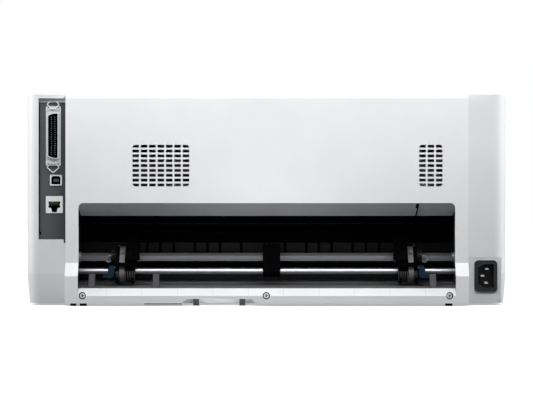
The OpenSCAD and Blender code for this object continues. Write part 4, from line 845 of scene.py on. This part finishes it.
def add_table():
    """Scale ticks along the paper table and grip ribs on both edge guides."""
    top = box_mm("front_table")[1][2]
    ticks = Shape()
    for i in range(-70, 71):
        x = i * TENTH_INCH
        deep = 3.4 if i % 5 == 0 else 1.8
        ticks.box((x - 0.14, -147.5 - deep, top - 0.05), (x + 0.14, -147.5, top + 0.05))
    ticks.piece("table_ticks", "panel", "panel_grey", "body", 0)
    for name, side in (("left", -1), ("right", 1)):
        ribs = Shape()
        for i in range(5):
            y = -166.5 + 2 * i
            ribs.box((side * 138 - 5.5, y - 0.4, 80.7), (side * 138 + 5.5, y + 0.4, 81.35))
        for y in (-175, -150):
            gusset = [(y, 80.8), (y + 1.6, 80.8), (y + 0.8, 89.5)]
            ribs.prism(gusset, "x", *sorted((side * 130.9, side * 133.6)))
        ribs.piece(name + "_guide_ribs", "guide", "guide_grey", name + "_edge_guide", 0.12)


add_panel()
add_switch()
add_window_rim()
add_table()


# ---------------------------------------------------------------- the mechanism under the cover

MOTOR_BAND_R = 21.25
MOTOR_SCREW_R = 16
FEED_MOTOR = (12.66, 99.58)
BELT_TOOTH = 2.03
CHIPS = ((70, 90, 24), (70, 130, 18), (110, 172, 20), (108, 84, 14))
CAPACITORS = ((134, 100, 5, 12), (134, 116, 5, 12), (134, 132, 4, 10), (96, 140, 3.2, 8), (104, 140, 3.2, 8))


def add_belt_teeth():
    """Teeth on the inside of both runs of the carriage belt."""
    low, high = box_mm("timing_belt")
    teeth = Shape()
    middle = (low[2] + high[2]) / 2
    for i in range(159):
        x = -160 + i * BELT_TOOTH
        for s in (-1, 1):
            foot, tip = middle + s * 8.35, middle + s * 7.7
            tooth = [(x - 0.5, foot), (x + 0.5, foot), (x + 0.3, tip), (x - 0.3, tip)]
            teeth.prism(tooth, "y", low[1] + 0.1, high[1] - 0.1)
    teeth.piece("belt_teeth", "rubber", "feet_rubber", "body", 0)


def add_motors():
    """Laminated seams and end screws on both motors."""
    screws = circle(MOTOR_SCREW_R, 4, math.pi / 4)
    low, high = box_mm("carriage_motor")
    x, z = (low[0] + high[0]) / 2, (low[2] + high[2]) / 2
    bands = Shape()
    for y in (68, 84):
        bands.drum((x, y, z), (0, 1, 0), MOTOR_BAND_R, 0.7, sides=64)
    for a, b in screws:
        bands.drum((x + a, high[1] - 0.1, z + b), (0, 1, 0), 2.2, 1.2, 1.8, sides=24)
    bands.drum((x, high[1] - 0.1, z), (0, 1, 0), 5, 1.6, 4.4, sides=32)
    bands.piece("carriage_motor_bands", "zinc", "motor_metal", "body", 0.15)
    end = box_mm("feed_motor")[0][0]
    y, z = FEED_MOTOR
    ends = Shape()
    for x in (-221, -207):
        ends.drum((x, y, z), (1, 0, 0), MOTOR_BAND_R, 0.7, sides=64)
    for a, b in screws:
        ends.drum((end + 0.1, y + a, z + b), (1, 0, 0), 2.0, 0.8, sides=24)
    for a, b in ((-28, -23), (28, -23), (-28, 23), (28, 23)):
        ends.drum((-203.7, y + a, z + b), (1, 0, 0), 2.6, 1.2, 2.2, sides=24)
    ends.piece("feed_motor_bands", "zinc", "motor_metal", "body", 0.15)


def add_head():
    """Coil studs, nose plate with its needles and contact strip of the head; the carriage's screws."""
    top = box_mm("print_head")[1][2]
    head = Shape()
    for a, b in circle(12.2, 24):
        head.drum((a, b - 2, top - 0.2), (0, 0, 1), 0.9, 0.7, sides=12)
    head.drum((0, -2, top + 0.1), (0, 0, 1), 8.2, 0.9, 7.6, sides=48)
    head.piece("head_pins", "nickel", "head_metal", "carriage", 0.1)
    nose = Shape()
    nose.box((-6, -6, 80.9), (6, -2, 82))
    for i in range(12):
        x, y = -0.9 + 1.2 * (i % 2), -5.6 + 0.27 * i
        nose.box((x, y, 80.6), (x + 0.3, y + 0.15, 80.95))
    nose.piece("head_nose", "bright", "head_metal", "carriage", 0.05)
    screws = Shape()
    for x in (-26, 26):
        screws.drum((x, 30, 134.2), (0, 0, 1), 3.1, 1.0, 2.6, sides=32)
        screws.box((x - 2.2, 29.7, 134.5), (x + 2.2, 30.3, 134.85))
    screws.piece("carriage_screws", "zinc", "screw_steel", "carriage", 0.12)
    strip = Shape()
    strip.box((-21, 17, 134), (21, 27, 134.6))
    for i in range(16):
        x = -19.6 + TENTH_INCH * i
        strip.box((x, 18.5, 134.5), (x + 1.1, 25.5, 134.85))
    strip.piece("head_socket", "rib", "black_plastic", "carriage", 0.08)


def add_cartridge():
    """Lid seam, ribs, clips and window on the ribbon cartridge."""
    low, high = box_mm("ribbon_cartridge")
    front, top = low[1], high[2]

    def rectangle(x, y0, y1):
        return [(-x, y0), (x, y0), (x, y1), (-x, y1)]

    seam = Shape()
    outer, inner = rectangle(181, front + 3, -57), rectangle(179.8, front + 4.2, -58.2)
    seam.frame(outer, inner, "z", top - 0.1, top + 0.5)
    for x in range(-168, -114, 6):
        seam.box((x, front + 7, top - 0.1), (x + 1.6, -61, top + 0.5))
    for x in (-120, -60, 0, 60, 150):
        seam.box((x - 6, front - 0.35, 121), (x + 6, front + 0.2, 129))
    seam.piece("cartridge_ribs", "black", "black_plastic", "body", 0.12)
    window = Shape()
    window.box((-92, front + 7, top - 0.1), (86, -61, top + 0.2))
    window.piece("cartridge_window", "panel", "black_plastic", "body", 0.1)


def add_frame_screws():
    """Screws that hold the frame plate and rail, and clips on the gear studs."""
    screws = Shape()
    for x in (-185, -110, -40, 40, 110, 185):
        for z in (106.5, 138.5):
            screws.drum((x, 61.6, z), (0, 1, 0), 2.8, 1.0, 2.4, sides=24)
    for x in (-188, 188):
        screws.drum((x, -36, 106.3), (0, 0, 1), 2.8, 0.9, 2.3, sides=24)
    screws.piece("frame_screws", "zinc", "screw_steel", "body", 0.12)
    clips = Shape()
    for y, z in ((-3.84, ROLLER_Z), (81.34, 57.89)):
        outer, inner = (shifted(circle(radius, 32), y, z) for radius in (4.2, 2.2))
        clips.frame(outer, inner, "x", GEAR_XS[0] - 0.6, GEAR_XS[0])
    clips.piece("gear_clips", "bright", "shaft_steel", "body", 0.05)


def add_board_parts():
    """Legs on the chips, capacitors, sockets and solder points of the main board."""
    face = box_mm("main_board")[1][0] - 2.4
    legs = Shape()
    for y, z, w in CHIPS:
        for i in range(int(w / 1.6)):
            at = y - w / 2 + 1.1 + i * 1.6
            for row in (z - w / 2 - 0.9, z + w / 2 + 0.9):
                legs.box((face - 0.05, at - 0.25, row - 0.9), (face + 0.7, at + 0.25, row + 0.9))
    for i in range(40):
        for k in range(2):
            pad = (face - 1.3, 44 + TENTH_INCH * i, 190 + TENTH_INCH * k)
            legs.drum(pad, (1, 0, 0), 0.7, 0.5, 0.4, sides=10)
    legs.piece("board_legs", "nickel", "screw_steel", "body", 0)
    parts = Shape()
    for y, z, r, h in CAPACITORS:
        parts.drum((face + h / 2, y, z), (1, 0, 0), r, h, sides=32)
    for z in (72, 150, 192):
        parts.box((face, 88, z - 3), (face + 8, 126, z + 3))
        for i in range(13):
            parts.box((face + 7.9, 90 + i * 2.8, z - 0.6), (face + 8.6, 91 + i * 2.8, z + 0.6))
    parts.piece("board_parts", "panel", "black_plastic", "body", 0.2)


add_belt_teeth()
add_motors()
add_head()
add_cartridge()
add_frame_screws()
add_board_parts()


# ---------------------------------------------------------------- camera, light and floor

CAMERA_Y = 2.0775
CAMERA_Z = 0.105
VIEW_W = 0.528   # width of the view at the distance VIEW_FAR
VIEW_FAR = 1.9


def look_at(obj, target):
    obj.rotation_euler = (Vector(target) - obj.location).to_track_quat("-Z", "Y").to_euler()


def add_camera():
    """Straight behind the printer, at mid height, as the photo was taken."""
    data = bpy.data.cameras.new("camera")
    camera = bpy.data.objects.new("camera", data)
    bpy.context.collection.objects.link(camera)
    camera.location = (0, CAMERA_Y, CAMERA_Z)
    look_at(camera, (0, 0, CAMERA_Z))
    data.lens = data.sensor_width * VIEW_FAR / VIEW_W
    bpy.context.scene.camera = camera


def add_light(name, place, target, size, power, spread=180):
    """A rectangular lamp that the camera can't see."""
    data = bpy.data.lights.new(name, "AREA")
    data.shape = "RECTANGLE"
    data.size, data.size_y = size
    data.energy = power
    data.spread = math.radians(spread)
    light = bpy.data.objects.new(name, data)
    bpy.context.collection.objects.link(light)
    light.location = place
    light.visible_camera = False
    look_at(light, target)


def add_world():
    """White to the camera, in mirrors and through glass; almost dark as a source of light."""
    world = bpy.data.worlds.new("studio")
    world.use_nodes = True
    nodes, links = world.node_tree.nodes, world.node_tree.links
    back = nodes["Background"]
    back.inputs["Color"].default_value = (1, 1, 1, 1)
    rays = nodes.new("ShaderNodeLightPath").outputs
    seen = combine(nodes, links, "MAXIMUM", rays["Is Camera Ray"], rays["Is Transmission Ray"])
    seen = combine(nodes, links, "MAXIMUM", seen, rays["Is Glossy Ray"])
    links.new(stretch(nodes, links, seen, 0.06, 1.0), back.inputs["Strength"])
    bpy.context.scene.world = world


def add_floor():
    """Pale to the eye, but with little light thrown back up; it fades into the background."""
    bpy.ops.mesh.primitive_plane_add(size=12, location=(0, 0, 0))
    floor = bpy.context.object
    floor.name = "studio_floor"
    material, nodes, links, shader = new_material("studio_floor")
    shader.inputs["Roughness"].default_value = 0.9
    shader.inputs["Specular IOR Level"].default_value = 0.1
    eye = nodes.new("ShaderNodeLightPath").outputs["Is Camera Ray"]
    links.new(ramp(nodes, links, eye, 0.08, 0.82, 0, 1), shader.inputs["Base Color"])
    far = nodes.new("ShaderNodeVectorMath")
    far.operation = "LENGTH"
    links.new(nodes.new("ShaderNodeTexCoord").outputs["Object"], far.inputs[0])
    fade = stretch(nodes, links, far.outputs["Value"], 0.45, 1.0, 0.30, 1.1)
    shader.inputs["Emission Color"].default_value = (1, 1, 1, 1)
    glow = combine(nodes, links, "MULTIPLY", eye, fade)
    links.new(glow, shader.inputs["Emission Strength"])
    floor.data.materials.append(material)


add_camera()
add_world()
add_floor()
add_light("key", (0, 0.55, 0.50), (0, 0.177, 0.20), (1.3, 0.25), 4.9)
add_light("lip", (0, 0.42, 0.02), (0, 0.16, 0.10), (0.16, 0.05), 0.012, 50)
add_light("notch", (0.046, 0.181, 0.005), (0.046, 0.16, 0.005), (0.066, 0.003), 0.006)
add_light("left_rim", (1.2, 0.18, 0.35), (0.2, 0.12, 0.1), (0.4, 0.9), 10)
add_light("right_rim", (-1.2, 0.18, 0.35), (-0.2, 0.12, 0.1), (0.4, 0.9), 10)
add_light("front", (0.2, -1.6, 1.0), (0, -0.1, 0.12), (1.6, 1.0), 22)

bpy.context.scene.view_settings.view_transform = "Standard"
